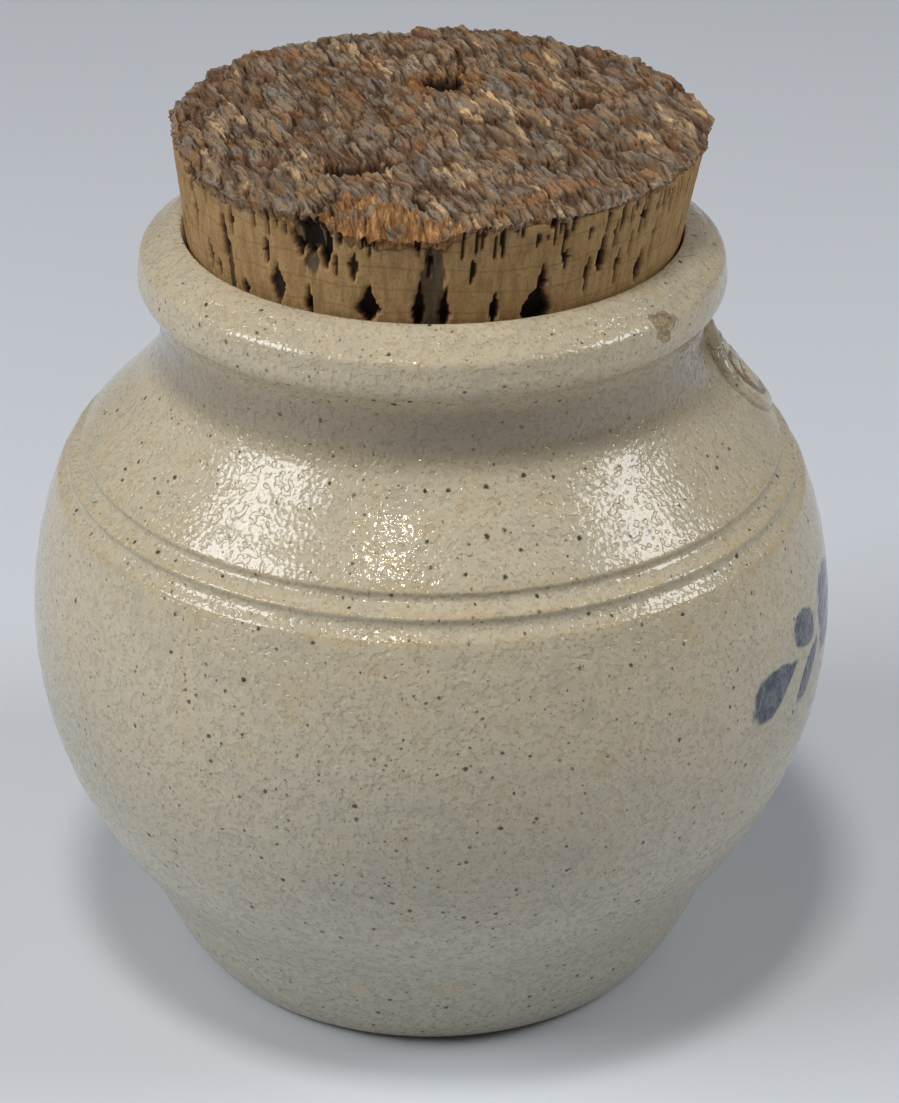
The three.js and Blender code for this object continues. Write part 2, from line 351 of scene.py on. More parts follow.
class CorkLooks(bpy.types.PropertyGroup):
    """Sizes and colours of the cork stopper."""

    steps: IntProperty(
        name="Steps", description="Faces round the cork's side", default=640, min=64, max=720)
    relief: length_property(
        "Bark relief", "Height of the bark's large flakes", 0.62)
    flake_length: length_property(
        "Flake length", "Length of a small flake along the grain", 6.4)
    flake_width: length_property(
        "Flake width", "Width of a small flake", 0.95)
    flesh: colour_property(
        "Cork", "Cut side of the cork", srgb(172, 139, 94))
    shade: colour_property(
        "Dark cork", "Growth lines and streaks of the side", srgb(128, 96, 58))
    # The lenticel colours also paint shade into deep hollows and the bark's crevices.
    hollow: colour_property(
        "Lenticel", "Inside of a deep lenticel", srgb(26, 17, 11))
    rust: colour_property(
        "Rust", "Wall of a shallow lenticel", srgb(76, 49, 30))
    bark_grey: colour_property(
        "Grey bark", "Weathered flakes", srgb(142, 130, 113))
    bark_brown: colour_property(
        "Brown bark", "Fresh flakes", srgb(138, 103, 69))
    torn: colour_property(
        "Torn cork", "Fresh cork where the bark is torn away", srgb(174, 128, 80))


class StageLooks(bpy.types.PropertyGroup):
    """Floor and lights."""

    floor: colour_property(
        "Floor", "Plain pale floor", srgb(214, 217, 222))
    window_power: FloatProperty(
        name="Windows", description="Power of each large soft light", default=5.6, min=0.0, unit="POWER")
    lamp_power: FloatProperty(
        name="Lamp", description="Power of the small lamp overhead", default=1.9, min=0.0, unit="POWER")
    ceiling_power: FloatProperty(
        name="Ceiling", description="Power of the soft light above", default=7.8, min=0.0, unit="POWER")
    surround: FloatProperty(
        name="Surround", description="Strength of the even light from all round", default=0.12, min=0.0)


# Meshes


def turned(profile, steps):
    """A closed bmesh, spun about Z from a line of (radius, height) points in millimetres."""
    bm = bmesh.new()
    corners = [bm.verts.new((radius * MM, 0.0, height * MM)) for radius, height in profile]
    edges = [bm.edges.new(pair) for pair in zip(corners, corners[1:])]
    sector = 2 * math.pi / SECTORS
    axis = {"cent": (0, 0, 0), "axis": (0, 0, 1), "dvec": (0, 0, 0)}
    bmesh.ops.spin(bm, geom=corners + edges, angle=sector, steps=steps // SECTORS, **axis)
    bmesh.ops.spin(bm, geom=bm.verts[:] + bm.edges[:] + bm.faces[:], angle=sector * (SECTORS - 1),
                   steps=SECTORS - 1, use_duplicate=True, **axis)
    bmesh.ops.remove_doubles(bm, verts=bm.verts, dist=0.002 * MM)
    bmesh.ops.recalc_face_normals(bm, faces=bm.faces)
    bm.normal_update()
    return bm


def finished(bm, name, material, node, crisp=None):
    """Makes the bmesh a smooth piece that rides on the part and stands for one of its nodes.

    Edges that turn by more than the angle crisp stay sharp.
    """
    bmesh.ops.recalc_face_normals(bm, faces=bm.faces)
    for face in bm.faces:
        face.smooth = True
    mesh = bpy.data.meshes.new(name)
    bm.to_mesh(mesh)
    bm.free()
    mesh.materials.append(material)
    if crisp:
        mesh.set_sharp_from_angle(angle=crisp)
    piece = bpy.data.objects.new(name, mesh)
    bpy.context.scene.collection.objects.link(piece)
    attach(piece, BODY)
    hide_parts(node)


def hermite(share, span, start, start_slope, end, end_slope):
    square = share * share
    cube = square * share
    return ((2 * cube - 3 * square + 1) * start + (cube - 2 * square + share) * span * start_slope
            + (3 * square - 2 * cube) * end + (cube - square) * span * end_slope)


def belly_radius(z):
    return math.sqrt(BELLY_RADIUS ** 2 - (z - BELLY_HEIGHT) ** 2)


def belly_slope(z):
    return (BELLY_HEIGHT - z) / belly_radius(z)


def wall_radius(z):
    """The outer wall's radius from the foot to the neck, without the grooves."""
    if z < WAIST_HEIGHT:
        return hermite(z / WAIST_HEIGHT, WAIST_HEIGHT, FOOT_RADIUS, FOOT_SLOPE,
                       belly_radius(WAIST_HEIGHT), belly_slope(WAIST_HEIGHT))
    if z > SHOULDER_HEIGHT:
        span = NECK_HEIGHT - SHOULDER_HEIGHT
        return hermite((z - SHOULDER_HEIGHT) / span, span, belly_radius(SHOULDER_HEIGHT),
                       belly_slope(SHOULDER_HEIGHT), NECK_RADIUS, 0.0)
    return belly_radius(z)


def wall_slope(z):
    step = 0.05
    return (wall_radius(z + step) - wall_radius(z - step)) / (2 * step)


def groove_dip(z, depth):
    """How far the grooves cut into the wall at a height."""
    for top, lip, share, skew in GROOVES:
        if lip < z < top:
            return depth * share * math.sin(math.pi * ((top - z) / (top - lip)) ** skew) ** GROOVE_SOFTNESS
    return 0.0


def rim_point(angle):
    """A point on the rim's leaning oval section, whose outer flat lies at angle 0."""
    edge = RIM_EDGE * math.exp(-((angle - RIM_EDGE_ANGLE) / RIM_EDGE_SPREAD) ** 2)
    across, along = (RIM_HALF_WIDTH + edge) * math.cos(angle), (RIM_HALF_LENGTH + edge) * math.sin(angle)
    return (RIM_RADIUS + across * math.cos(RIM_LEAN) - along * math.sin(RIM_LEAN),
            RIM_HEIGHT + across * math.sin(RIM_LEAN) + along * math.cos(RIM_LEAN))


def bezier(points, share):
    """A point on the curve that a list of (radius, height) control points draws."""
    while len(points) > 1:
        points = [(lerp(a[0], b[0], share), lerp(a[1], b[1], share)) for a, b in zip(points, points[1:])]
    return points[0]


def crock_profile(looks):
    """The crock's outline from the axis under the foot to the axis at the plug's seat."""
    depth = looks.groove_depth / MM
    profile = [(radius, 0.0) for radius in FOOT_RINGS]
    foot = [(FOOT_RADIUS - FOOT_ROUND, 0.0), (FOOT_RADIUS, 0.0), (wall_radius(FOOT_ROUND), FOOT_ROUND)]
    profile += [bezier(foot, step / 8) for step in range(8)]

    def stretch(start, end, spacing):
        count = max(1, round((end - start) / spacing))
        for step in range(count):
            z = lerp(start, end, step / count)
            profile.append((wall_radius(z) - groove_dip(z, depth), z))

    (upper_top, upper_lip), (lower_top, lower_lip) = (groove[:2] for groove in GROOVES)
    stretch(FOOT_ROUND, lower_lip, 0.85)
    stretch(lower_lip, lower_top, 0.12)
    stretch(lower_top, upper_lip, 0.15)
    stretch(upper_lip, upper_top, 0.11)
    stretch(upper_top, upper_top + 2, 0.2)
    stretch(upper_top + 2, NECK_HEIGHT, 0.7)
    start = rim_point(RIM_START)
    neck = [(NECK_RADIUS, NECK_HEIGHT), (NECK_RADIUS, NECK_HEIGHT + NECK_COVE),
            (start[0] - RIM_FLARE, start[1] - RIM_FLARE), start]
    profile += [bezier(neck, step / 12) for step in range(12)]
    rim_steps = 52
    profile += [rim_point(lerp(RIM_START, RIM_END, step / rim_steps)) for step in range(rim_steps + 1)]
    seat = CORK_BOTTOM - CORK_GAP
    mouth = rim_point(RIM_END)
    bottom = (cork_radius(seat) + CORK_GAP, seat)
    profile += [bezier([mouth, bottom], share) for share in (0.25, 0.5, 1)]
    profile += [(radius, seat) for radius in SEAT_RINGS]
    return profile


def chip_frame():
    """The chip's middle on the rim and its tangent, slope and outward directions."""
    step = 0.01
    radius, height = rim_point(CHIP_ANGLE)
    ahead, above = rim_point(CHIP_ANGLE + step)
    spoke = spoke_at(CHIP_AZIMUTH)
    upward = (spoke * (ahead - radius) + Vector((0, 0, above - height))).normalized()
    tangent = Vector((-spoke.y, spoke.x, 0))
    return spoke * radius + Vector((0, 0, height)), tangent, upward, tangent.cross(upward)


def crock_piece(looks, material):
    """The thrown pot: turned grooves, an uneven hand-made wall, lumps in the glaze and a chipped rim."""
    bm = turned(crock_profile(looks), looks.steps)
    middle, tangent, slope, outward = chip_frame()
    near = [edge for edge in bm.edges
            if all((vert.co / MM - middle).length < CHIP_REACH for vert in edge.verts)]
    bmesh.ops.subdivide_edges(bm, edges=near, cuts=3, use_grid_fill=True)
    bm.normal_update()
    bare = bm.verts.layers.float.new("bare")
    moves = []
    for vert in bm.verts:
        place = vert.co / MM
        reach = math.hypot(place.x, place.y)
        outside = smoothstep(place.z, 0.2, 4.0)
        if place.z >= MOUTH_FADE_HEIGHT:
            outside *= smoothstep(reach, *MOUTH_FADE)
        spoke = Vector((place.x, place.y, 0)) / max(reach, 1e-6)
        uneven = noise_at(spoke.x * 1.3, spoke.y * 1.3, place.z / 45)
        sway = noise_at(spoke.x * 2, spoke.y * 2, place.z / 20 + 9)
        ring = math.sin(2 * math.pi * place.z / 4.4 + 2 * sway)
        lump = noise.noise(place / 3.4) + 0.6 * noise.noise(place / 1.9 + Vector((5, 0, 0)))
        lift = uneven * looks.unevenness + ring * looks.ripple + lump * looks.lumps
        away = place - middle
        across, along = away.dot(tangent), away.dot(slope)
        turn = math.atan2(along, across)
        scallop = (1 + 0.16 * math.sin(3 * turn + 0.7) + 0.1 * math.sin(5 * turn + 2)
                   + 0.06 * math.sin(9 * turn))
        share = math.hypot(across, along) / (CHIP_RADIUS * scallop)
        chipped = away.length < CHIP_REACH
        broken = 1 - smoothstep(share, 0.62, 1.0) if chipped else 0.0
        grit = 0.2 * noise.noise(place / 0.55)
        unglazed = 1 - smoothstep(share, 0.86, 1.06) if chipped else 0.0
        worn_foot = 1 - smoothstep(place.z, 0.5, 1.3) if reach > 1 else 0.0
        vert[bare] = max(unglazed, worn_foot)
        moves.append(vert.normal * (lift * outside) - outward * broken * (looks.chip_depth * (1 + grit)))
    for vert, move in zip(bm.verts, moves):
        vert.co += move
    finished(bm, "crock_body", material, "crock")


def medallion_piece(looks, material):
    """The applied clay pad: a rolled edge round a worn rosette, bent to the shoulder."""
    rings = 46
    # In shares of the pad's half width and of how proud it stands.
    profile = [(0.0, -1.6), (1.0, -1.6), (1.015, -0.2), (1.0, 0.45), (0.985, 0.8), (0.965, 0.95)]
    profile += [(lerp(0.945, 0.0, step / rings), 1.0) for step in range(rings + 1)]
    bm = turned(profile, MEDALLION_STEPS)
    recess = bm.verts.layers.float.new("recess")
    relief = looks.relief / MM
    for vert in bm.verts:
        x, y, level = vert.co / MM
        ring = math.hypot(x, y)
        turn = math.atan2(y, x)
        edge = 1 + 0.012 * math.sin(3 * turn + 1) + 0.01 * math.sin(7 * turn)
        rough = noise_at(x * 4.2, y * 4.2, 2) + 0.6 * noise_at(x * 11, y * 11, 5)
        proud = level * MEDALLION_PROUD
        hollow = 0.0
        if level > 0.9:
            rolled = math.exp(-((ring - 0.88) / 0.06) ** 2)
            moat = math.exp(-((ring - 0.745) / 0.05) ** 2)
            petal = 0.5 + 0.5 * math.cos(PETALS * turn + 0.5)
            bloom = smoothstep(ring, 0.2, 0.3) * (1 - smoothstep(ring, 0.55 + 0.12 * petal, 0.68))
            boss = math.exp(-(ring / 0.15) ** 2)
            form = 0.55 * rolled - 0.55 * moat + bloom * (petal ** 0.6 - 0.35) + 0.9 * boss
            form += 0.32 * rough
            proud += relief * form + 0.45 * (1 - ring * ring)
            hollow = smoothstep(-form + 0.35 * rough, -0.35, 0.45)
        vert[recess] = hollow if level > 0.4 else 0.25
        z = MEDALLION_HEIGHT + y * edge * MEDALLION_HALF_LENGTH * MEDALLION_RISE
        azimuth = MEDALLION_AZIMUTH + x * edge * MEDALLION_HALF_WIDTH / wall_radius(MEDALLION_HEIGHT)
        normal = Vector((1, -wall_slope(z))).normalized()
        proud *= 1 + MEDALLION_TAPER * y if proud > 0 else 1
        reach = wall_radius(z) + proud * normal.x
        height = z + proud * normal.y
        vert.co = Vector((reach * math.cos(azimuth), reach * math.sin(azimuth), height)) * MM
    finished(bm, "medallion", material, "crock")


def cork_radius(z):
    return lerp(CORK_BOTTOM_RADIUS, CORK_TOP_RADIUS, (z - CORK_BOTTOM) / (CORK_TOP - CORK_BOTTOM))


def cork_lean(z):
    return CORK_LEAN * smoothstep(z, RIM_HEIGHT, CORK_TOP)


def edge_break(azimuth):
    """How far the bark's broken edge stands in or out at an azimuth."""
    return (0.45 * math.sin(3 * azimuth + 0.8) + 0.3 * math.sin(8 * azimuth + 2.1)
            + 0.3 * math.sin(17 * azimuth + 0.4) + 0.2 * math.sin(29 * azimuth + 1.3))


def cork_skin(azimuth, z):
    """The cork's own radius at a place on its side, with the broken bark edge."""
    bark = smoothstep(z, CORK_TOP - 3.3, CORK_TOP)
    spoke = Vector((math.cos(azimuth) * 6, math.sin(azimuth) * 6, z / 7))
    return cork_radius(z) + bark * edge_break(azimuth) + 0.1 * noise.noise(spoke)


def torn_share(azimuth):
    """1 where the bark is torn away at the front edge, easing to 0 beside it."""
    degrees = math.degrees(azimuth)
    inside = min(turn_between(degrees, TORN_START), turn_between(TORN_END, degrees))
    inside += 2.2 * noise_at(azimuth * 22, 4.0, 0.0)
    return smoothstep(inside, -1.5, 5.0)


def bark_brim(azimuth):
    """The height of the bark's outer edge, without its flakes."""
    return (CORK_TOP + CORK_TILT * CORK_TOP_RADIUS * math.sin(azimuth) - BRIM_ROUND
            - TORN_DROP * torn_share(azimuth))


def crust_edge(azimuth):
    """The height of the bark crust's ragged lower edge."""
    degrees = math.degrees(azimuth)
    thick = 0.6 + 2.0 * (1 - smoothstep(abs(turn_between(degrees, CRUST_THICK)), 16, 32))
    spoke = spoke_at(azimuth)
    thick += 0.9 * noise.noise(spoke * 9) + 0.7 * noise.noise(spoke * 26) + 0.4 * noise.noise(spoke * 60)
    scallop = 1 + 1.6 * noise.noise(spoke * 15) + 0.9 * noise.noise(spoke * 40)
    return bark_brim(azimuth) - max(thick, 0.7) - 0.9 * torn_share(azimuth) * scallop


def seeded_draws(seed):
    """Draws between two limits that repeat on every run."""
    state = [seed]

    def draw(low, high):
        state[0] = (state[0] * 1664525 + 1013904223) % 4294967296
        return low + (high - low) * state[0] / 4294967296
    return draw


def all_lenticels():
    """The lenticels of the side that shows, those of the far side as in the solid, and small ones."""
    found = list(LENTICELS)
    draw = seeded_draws(7)
    for index in range(FAR_LENTICELS):
        azimuth = FAR_START + FAR_SPAN * (index + draw(0.2, 0.8)) / FAR_LENTICELS
        height, width, length = (draw(*limits) for limits in FAR_LIMITS)
        found.append((azimuth, height, width, length, FAR_DEPTH, FAR_WIDEST))
    small = random.Random(11)
    for _ in range(SMALL_LENTICELS):
        found.append(tuple(small.uniform(*limits) for limits in SMALL_LIMITS))
    for index in range(EDGE_SLITS):
        azimuth = small.gauss(SLIT_CROWD, SLIT_SPREAD) if index % 2 else small.uniform(-180, 180)
        height, length, width, depth = (small.uniform(*limits) for limits in SLIT_LIMITS)
        found.append((azimuth, height, width, length, depth, SLIT_WIDEST))
    return found


def by_degree(features):
    """Sorts features into one list for each degree of azimuth that they can reach."""
    bins = [[] for _ in range(360)]
    for feature in features:
        span = math.degrees(feature[2] / CORK_TOP_RADIUS) + 1.5
        for degree in range(math.floor(feature[0] - span), math.ceil(feature[0] + span) + 1):
            bins[degree % 360].append(feature)
    return bins


def lenticel_cut(bins, azimuth, z):
    """Depth of the lenticels at a place on the cork's side, and how dark the hollow is painted: partly the
    lenticel's own dark brown, partly painted shade that deepens with depth.
    """
    degrees = math.degrees(azimuth)
    depth, dark = 0.0, 0.0
    jitter = 0.22 * noise_at(azimuth * 60, z * 1.5, 1.0)
    for middle, height, width, length, deep, widest in bins[math.floor(degrees) % 360]:
        across = math.radians(turn_between(degrees, middle)) * CORK_TOP_RADIUS / (width / 2)
        along = (z - height) / length + 0.5
        if not 0 < along < 1:
            continue
        top_share = 1 - widest
        pointed = lerp(1.7, 0.55, smoothstep(width, 4.6, 5.6))
        spread = (along / top_share) ** 0.85 if along < top_share else ((1 - along) / widest) ** pointed
        inside = 0.92 * spread - abs(across) + jitter * spread
        if inside <= 0:
            continue
        cut = smoothstep(inside, 0.0, 0.25)
        depth = max(depth, deep * cut)
        # Painted shade: deeper lenticels are painted darker, over their own dark brown.
        dark = max(dark, cut * min(0.45 + 0.38 * deep, 1.0))
    return depth, dark


def ash_share(azimuth, z):
    """1 on a grey weathered strip of the side, easing to 0 beside it."""
    degrees = math.degrees(azimuth)
    share = 0.0
    ragged = 0.8 * noise_at(azimuth * 30, z / 2.2, 6.0)
    for middle, low, high, width in ASH_STRIPS:
        across = abs(math.radians(turn_between(degrees, middle))) * CORK_TOP_RADIUS
        narrow = width * lerp(1.0, 0.5, smoothstep(z, low, high))
        share = max(share, (1 - smoothstep(across + ragged, 0.3 * narrow, 0.55 * narrow))
                    * smoothstep(z, low - 0.5, low + 4.0) * (1 - smoothstep(z, high - 1, high + 0.5)))
    return share


def flake(along, across, length, width, seed):
    """One layer of bark flakes: its lift, the place along it, nearness to a crevice, and its tint."""
    place = Vector((along / length, across / width, seed))
    distances, points = noise.voronoi(place)
    lift = noise.cell(points[0] + Vector((0.0, 0.0, seed)))
    tint = noise.cell(points[0] + Vector((17.0, 5.0, seed)))
    crevice = 1 - smoothstep(distances[1] - distances[0], 0.0, 0.22)
    return lift, place.x - points[0].x, crevice, tint


def with_grain(x, y):
    """A place on the bark, along its grain and across it."""
    return (x * math.cos(BARK_GRAIN) + y * math.sin(BARK_GRAIN),
            y * math.cos(BARK_GRAIN) - x * math.sin(BARK_GRAIN))


def bark_lift(x, y, looks):
    """The bark's height over its mean plane, its tint, its darkness as painted shade and the pale lips of
    its pits.
    """
    along, across = with_grain(x, y)
    across += 1.2 * noise_at(x / 8, y / 8, 3.1) + 0.35 * noise_at(x / 2.4, y / 2.4, 6.0)
    small_length, small_width = looks.flake_length / MM, looks.flake_width / MM
    broad = noise_at(x / 9, y / 9, 7.7)
    ruffle = noise_at(x / 1.6, y / 1.6, 1.2)
    fray = noise_at(along / 5, across / 0.45, 9.0)
    ragged = along + 2.4 * fray
    lift, run, crevice, tint = flake(ragged + 1.4 * ruffle, across,
                                     1.9 * small_length, 2.6 * small_width, 0.5)
    chip, slant, gap, shade = flake(ragged, across + 0.25 * ruffle, small_length, small_width, 5.5)
    fine = noise_at(along / 3.2, across / 0.32, 2.2) + 0.5 * noise_at(along / 0.9, across / 0.5, 4.2)
    relief = looks.relief / MM
    height = relief * (0.8 * broad + 0.45 * lift + 0.4 * run - 0.45 * crevice
                       + 0.5 * chip + 0.3 * slant - 0.3 * gap + 0.42 * fine)
    # Painted shade: darker in the crevices and gaps between flakes and on flakes that lie lower.
    dark = max(0.34 * crevice, 0.3 * gap) + 0.1 * max(-lift, 0.0) + 0.12 * max(-chip, 0.0)
    lip = 0.0
    for pit_x, pit_y, half_length, half_width, depth in BARK_PITS:
        pit_along, pit_across = with_grain(x - pit_x, y - pit_y)
        share = math.hypot(pit_along / half_length, pit_across / half_width) + 0.45 * ruffle + 0.3 * fray
        hole = 1 - smoothstep(share, 0.55, 1.15)
        height -= depth * hole
        # Painted shade: a pit is painted darker the deeper it is.
        dark = max(dark, smoothstep(depth, 0.2, 2.8) * (1 - smoothstep(share, 0.75, 1.25)))
        beside = smoothstep(share, 0.9, 1.2) * (1 - smoothstep(share, 1.5, 2.0))
        lip = max(lip, smoothstep(depth, 2.0, 2.4) * beside)
    return height, 0.5 + 0.5 * (0.4 * shade + 0.5 * tint + 0.15 * chip), min(dark, 1.0), lip


def cork_layers(bm):
    """The values at each corner that the cork's material reads."""
    return {name: bm.verts.layers.float.new(name) for name in ("crust", "torn", "flake", "pit_and_painted_shade", "ash")}


def cork_side_piece(looks, material):
    """The cork's cut side with its lenticels, down to the plug that sits in the mouth."""
    brim = CORK_TOP - 0.6
    rows = 64
    profile = [(0.0, CORK_BOTTOM), (16.0, CORK_BOTTOM), (CORK_BOTTOM_RADIUS - 0.8, CORK_BOTTOM)]
    heights = [lerp(CORK_SHOWS, brim, row / rows) for row in range(rows + 1)]
    profile += [(cork_radius(z), z) for z in [*PLUG_ROWS, *heights]]
    profile += [(radius, SIDE_FLOOR) for radius in (CORK_TOP_RADIUS - 3.0, 20.0, 0.0)]
    bm = turned(profile, looks.steps)
    layers = cork_layers(bm)
    bins = by_degree(all_lenticels())
    for vert in bm.verts:
        x, y, z = vert.co / MM
        reach = math.hypot(x, y)
        if reach < 1e-4 or z < CORK_SHOWS - 1:
            vert.co.x += cork_lean(z) * MM
            vert[layers["flake"]] = 0.4
            continue
        azimuth = math.atan2(y, x)
        edge = crust_edge(azimuth)
        top = edge + 0.5
        level = CORK_SHOWS + (z - CORK_SHOWS) * (top - CORK_SHOWS) / (brim - CORK_SHOWS)
        radius = reach
        if reach > cork_radius(z) - 0.5:
            depth, dark = lenticel_cut(bins, azimuth, level)
            ash = ash_share(azimuth, level)
            grain = 0.05 * noise_at(azimuth * 45, level / 5, 0.0)
            grain += 0.03 * noise_at(x / 0.7, y / 0.7, level / 1.2)
            tuck = 0.6 * smoothstep(level, edge - 0.1, edge + 0.5)
            radius = min(reach, cork_radius(level)) - cork_radius(level) + cork_skin(azimuth, level)
            radius += grain - depth - 0.45 * ash - tuck
            vert[layers["pit_and_painted_shade"]] = dark
            vert[layers["ash"]] = ash
            vert[layers["crust"]] = 0.9 * smoothstep(level, edge - 0.5, edge + 0.4)
        vert[layers["flake"]] = 0.5 + 0.45 * noise_at(azimuth * 30, level / 6, 8.0)
        vert.co = on_cork(radius, azimuth, level, cork_lean(level))
    finished(bm, "cork_side", material, "cork")


def bark_outline(azimuth):
    """The radius of the bark's ragged outer edge."""
    spoke = spoke_at(azimuth)
    ragged = 0.4 * noise.noise(spoke * 24) + 0.3 * noise.noise(spoke * 58 + Vector((0, 0, 3)))
    return CORK_TOP_RADIUS + edge_break(azimuth) + ragged - 0.3


def bark_piece(looks, material):
    """The bark on the cork's top: rough flakes along one grain, a ragged edge and a torn front."""
    bm = bmesh.new()
    half = CORK_TOP_RADIUS + 2
    bmesh.ops.create_grid(bm, x_segments=BARK_FACES_ALONG, y_segments=BARK_FACES_ACROSS, size=half * MM)
    bmesh.ops.rotate(bm, verts=bm.verts, cent=(0, 0, 0), matrix=Matrix.Rotation(BARK_GRAIN, 3, "Z"))
    layers = cork_layers(bm)
    outside = [vert for vert in bm.verts
               if vert.co.length / MM > bark_outline(math.atan2(vert.co.y, vert.co.x))]
    bmesh.ops.delete(bm, geom=outside, context="VERTS")
    loose = [vert for vert in bm.verts if len(vert.link_faces) < 2]
    bmesh.ops.delete(bm, geom=loose, context="VERTS")
    for vert in bm.verts:
        x, y, _ = vert.co / MM
        reach, azimuth = math.hypot(x, y), math.atan2(y, x)
        outline = bark_outline(azimuth)
        if vert.is_boundary:
            x, y = outline * math.cos(azimuth), outline * math.sin(azimuth)
            reach = outline
        height, tint, dark, lip = bark_lift(x, y, looks)
        over = smoothstep(math.degrees(azimuth), TORN_START, TORN_END)
        inner = lerp(*TORN_INNER, over) + 2.6 * noise_at(x / 2.2, y / 5, 5.0)
        frayed = azimuth + 0.1 * noise_at(x / 1.7, y / 1.7, 3.0)
        torn = torn_share(frayed) * smoothstep(reach + 3.4 * (tint - 0.5), inner, inner + 3.5)
        patchy = torn + 1.2 * noise_at(x / 1.5, y / 4, 8.0)
        torn = smoothstep(patchy, 0.42, 0.75) * smoothstep(torn, 0.0, 0.3)
        slope = torn_share(azimuth) * smoothstep(reach, 32.0, outline)
        rounded = BRIM_ROUND * smoothstep(reach, outline - 1.5, outline)
        frays = 0.5 * torn * noise_at(azimuth * 55, reach / 3, 2.0)
        level = CORK_TOP + height * (1 - 0.3 * torn) + frays + CORK_TILT * y - TORN_DROP * slope - rounded
        vert.co = Vector((x + cork_lean(CORK_TOP), y, level)) * MM
        vert[layers["crust"]] = 1.0
        vert[layers["torn"]] = max(torn, 0.8 * lip)
        vert[layers["flake"]] = tint
        vert[layers["pit_and_painted_shade"]] = dark * (1 - 0.6 * torn)
    bark_wall(bm, layers)
    finished(bm, "cork_bark", material, "cork", BARK_CRISP)


def drawn_out(bm, edges):
    """Draws an open edge out once more, and gives the new open edge and its corners."""
    made = bmesh.ops.extrude_edge_only(bm, edges=edges)["geom"]
    edges = [item for item in made if isinstance(item, bmesh.types.BMEdge) and item.is_boundary]
    return edges, {vert for edge in edges for vert in edge.verts}


def bark_wall(bm, layers):
    """Carries the bark's edge down over the cork's side in broken layers and closes it underneath."""
    bins = by_degree(all_lenticels())
    rim = [edge for edge in bm.edges if edge.is_boundary]
    tops = {}
    rows = 11
    lean = cork_lean(CORK_TOP)
    for row in range(1, rows + 1):
        rim, corners = drawn_out(bm, rim)
        share = row / rows
        placed = {}
        for vert in corners:
            x, y, z = vert.co / MM
            azimuth = math.atan2(y, x - lean)
            start = tops.get(round(azimuth, 7), z) if row > 1 else z
            bottom = min(crust_edge(azimuth) - 0.15, start - 0.3)
            level = lerp(start, bottom, share)
            layered = noise_at(azimuth * 16, level / 0.75, 3.0)
            layered += 0.7 * noise_at(azimuth * 55, level / 1.6, 5.0)
            swell = math.sin(math.pi * min(1.0, 0.15 + share))
            proud = lerp(0.25, -0.3, share ** 1.5) + 0.42 * layered * swell
            depth, dark = lenticel_cut(bins, azimuth, level)
            ash = ash_share(azimuth, level)
            radius = cork_skin(azimuth, level) + proud - depth - 0.3 * ash
            torn = torn_share(azimuth)
            vert.co = on_cork(radius, azimuth, level, lean)
            fade = 1 - smoothstep(share + 0.5 * layered, 0.35, 0.85)
            straw = smoothstep(noise_at(azimuth * 14, 8.0, level / 2), 0.08, 0.35)
            straw *= 0.8 * smoothstep(share, 0.2, 0.6)
            vert[layers["ash"]] = ash
            vert[layers["crust"]] = fade * (1 - torn)
            vert[layers["torn"]] = max(torn * (1 - smoothstep(share, 0.75, 1.0)), straw)
            # Painted shade where a layer of the bark's edge sinks in, over the lenticels' darkness.
            vert[layers["pit_and_painted_shade"]] = max(dark, 0.55 * smoothstep(-layered, 0.15, 0.7) * (1 - torn))
            vert[layers["flake"]] = 0.24 + 0.4 * layered
            placed[round(azimuth, 7)] = start
        tops.update(placed)
    for inner in (0.6, 0.25):
        rim, corners = drawn_out(bm, rim)
        for vert in corners:
            vert.co = Vector((vert.co.x * inner, vert.co.y * inner, BARK_FLOOR * MM))
    bmesh.ops.pointmerge(bm, verts=list(corners), merge_co=(0, 0, BARK_FLOOR * MM))


# Materials

# Second tones, beside the colours in the panel.
GLAZE_CREAM = srgb(206, 196, 174)
GLAZE_BROWN = srgb(120, 103, 79)
GLAZE_PALE = srgb(218, 208, 187)
GLAZE_GREY = srgb(160, 154, 141)
GLAZE_HONEY = srgb(186, 160, 118)
SPECK_DUST = srgb(104, 80, 56)
SPECK_BROWN = srgb(88, 62, 42)
# Painted shade for the neck under the rim.
NECK_PAINTED_SHADE = srgb(112, 99, 78)
COBALT_THIN = srgb(74, 84, 100)
CLAY_DARK = srgb(146, 126, 96)
CLAY_EDGE = srgb(104, 82, 56)
WASH_DARK = srgb(78, 54, 36)
CORK_CLOUD = srgb(150, 112, 66)
CORK_CELL = srgb(116, 84, 50)
BARK_RUSSET = srgb(150, 104, 66)
BARK_ASHEN = srgb(128, 122, 114)
BARK_GAP = srgb(50, 37, 27)
BARK_FLECK = srgb(56, 41, 29)
BARK_STRAW = srgb(184, 150, 110)
ASH_DARK = srgb(42, 34, 27)
ASH_PALE = srgb(84, 72, 57)
TORN_DARK = srgb(110, 72, 39)
TORN_PALE = srgb(206, 166, 116)
TORN_DULL = srgb(122, 86, 54)
TORN_EDGE = srgb(136, 98, 60)
# The bark's other tones, in the order of the flakes' tint.
BARK_DEEP = srgb(64, 46, 32)
BARK_DRAB = srgb(110, 99, 86)
BARK_TAN = srgb(150, 114, 76)
BARK_DOVE = srgb(138, 126, 110)
BARK_BUFF = srgb(198, 162, 116)
BARK_CREAM = srgb(216, 180, 132)
GLAZE_IOR = 1.52


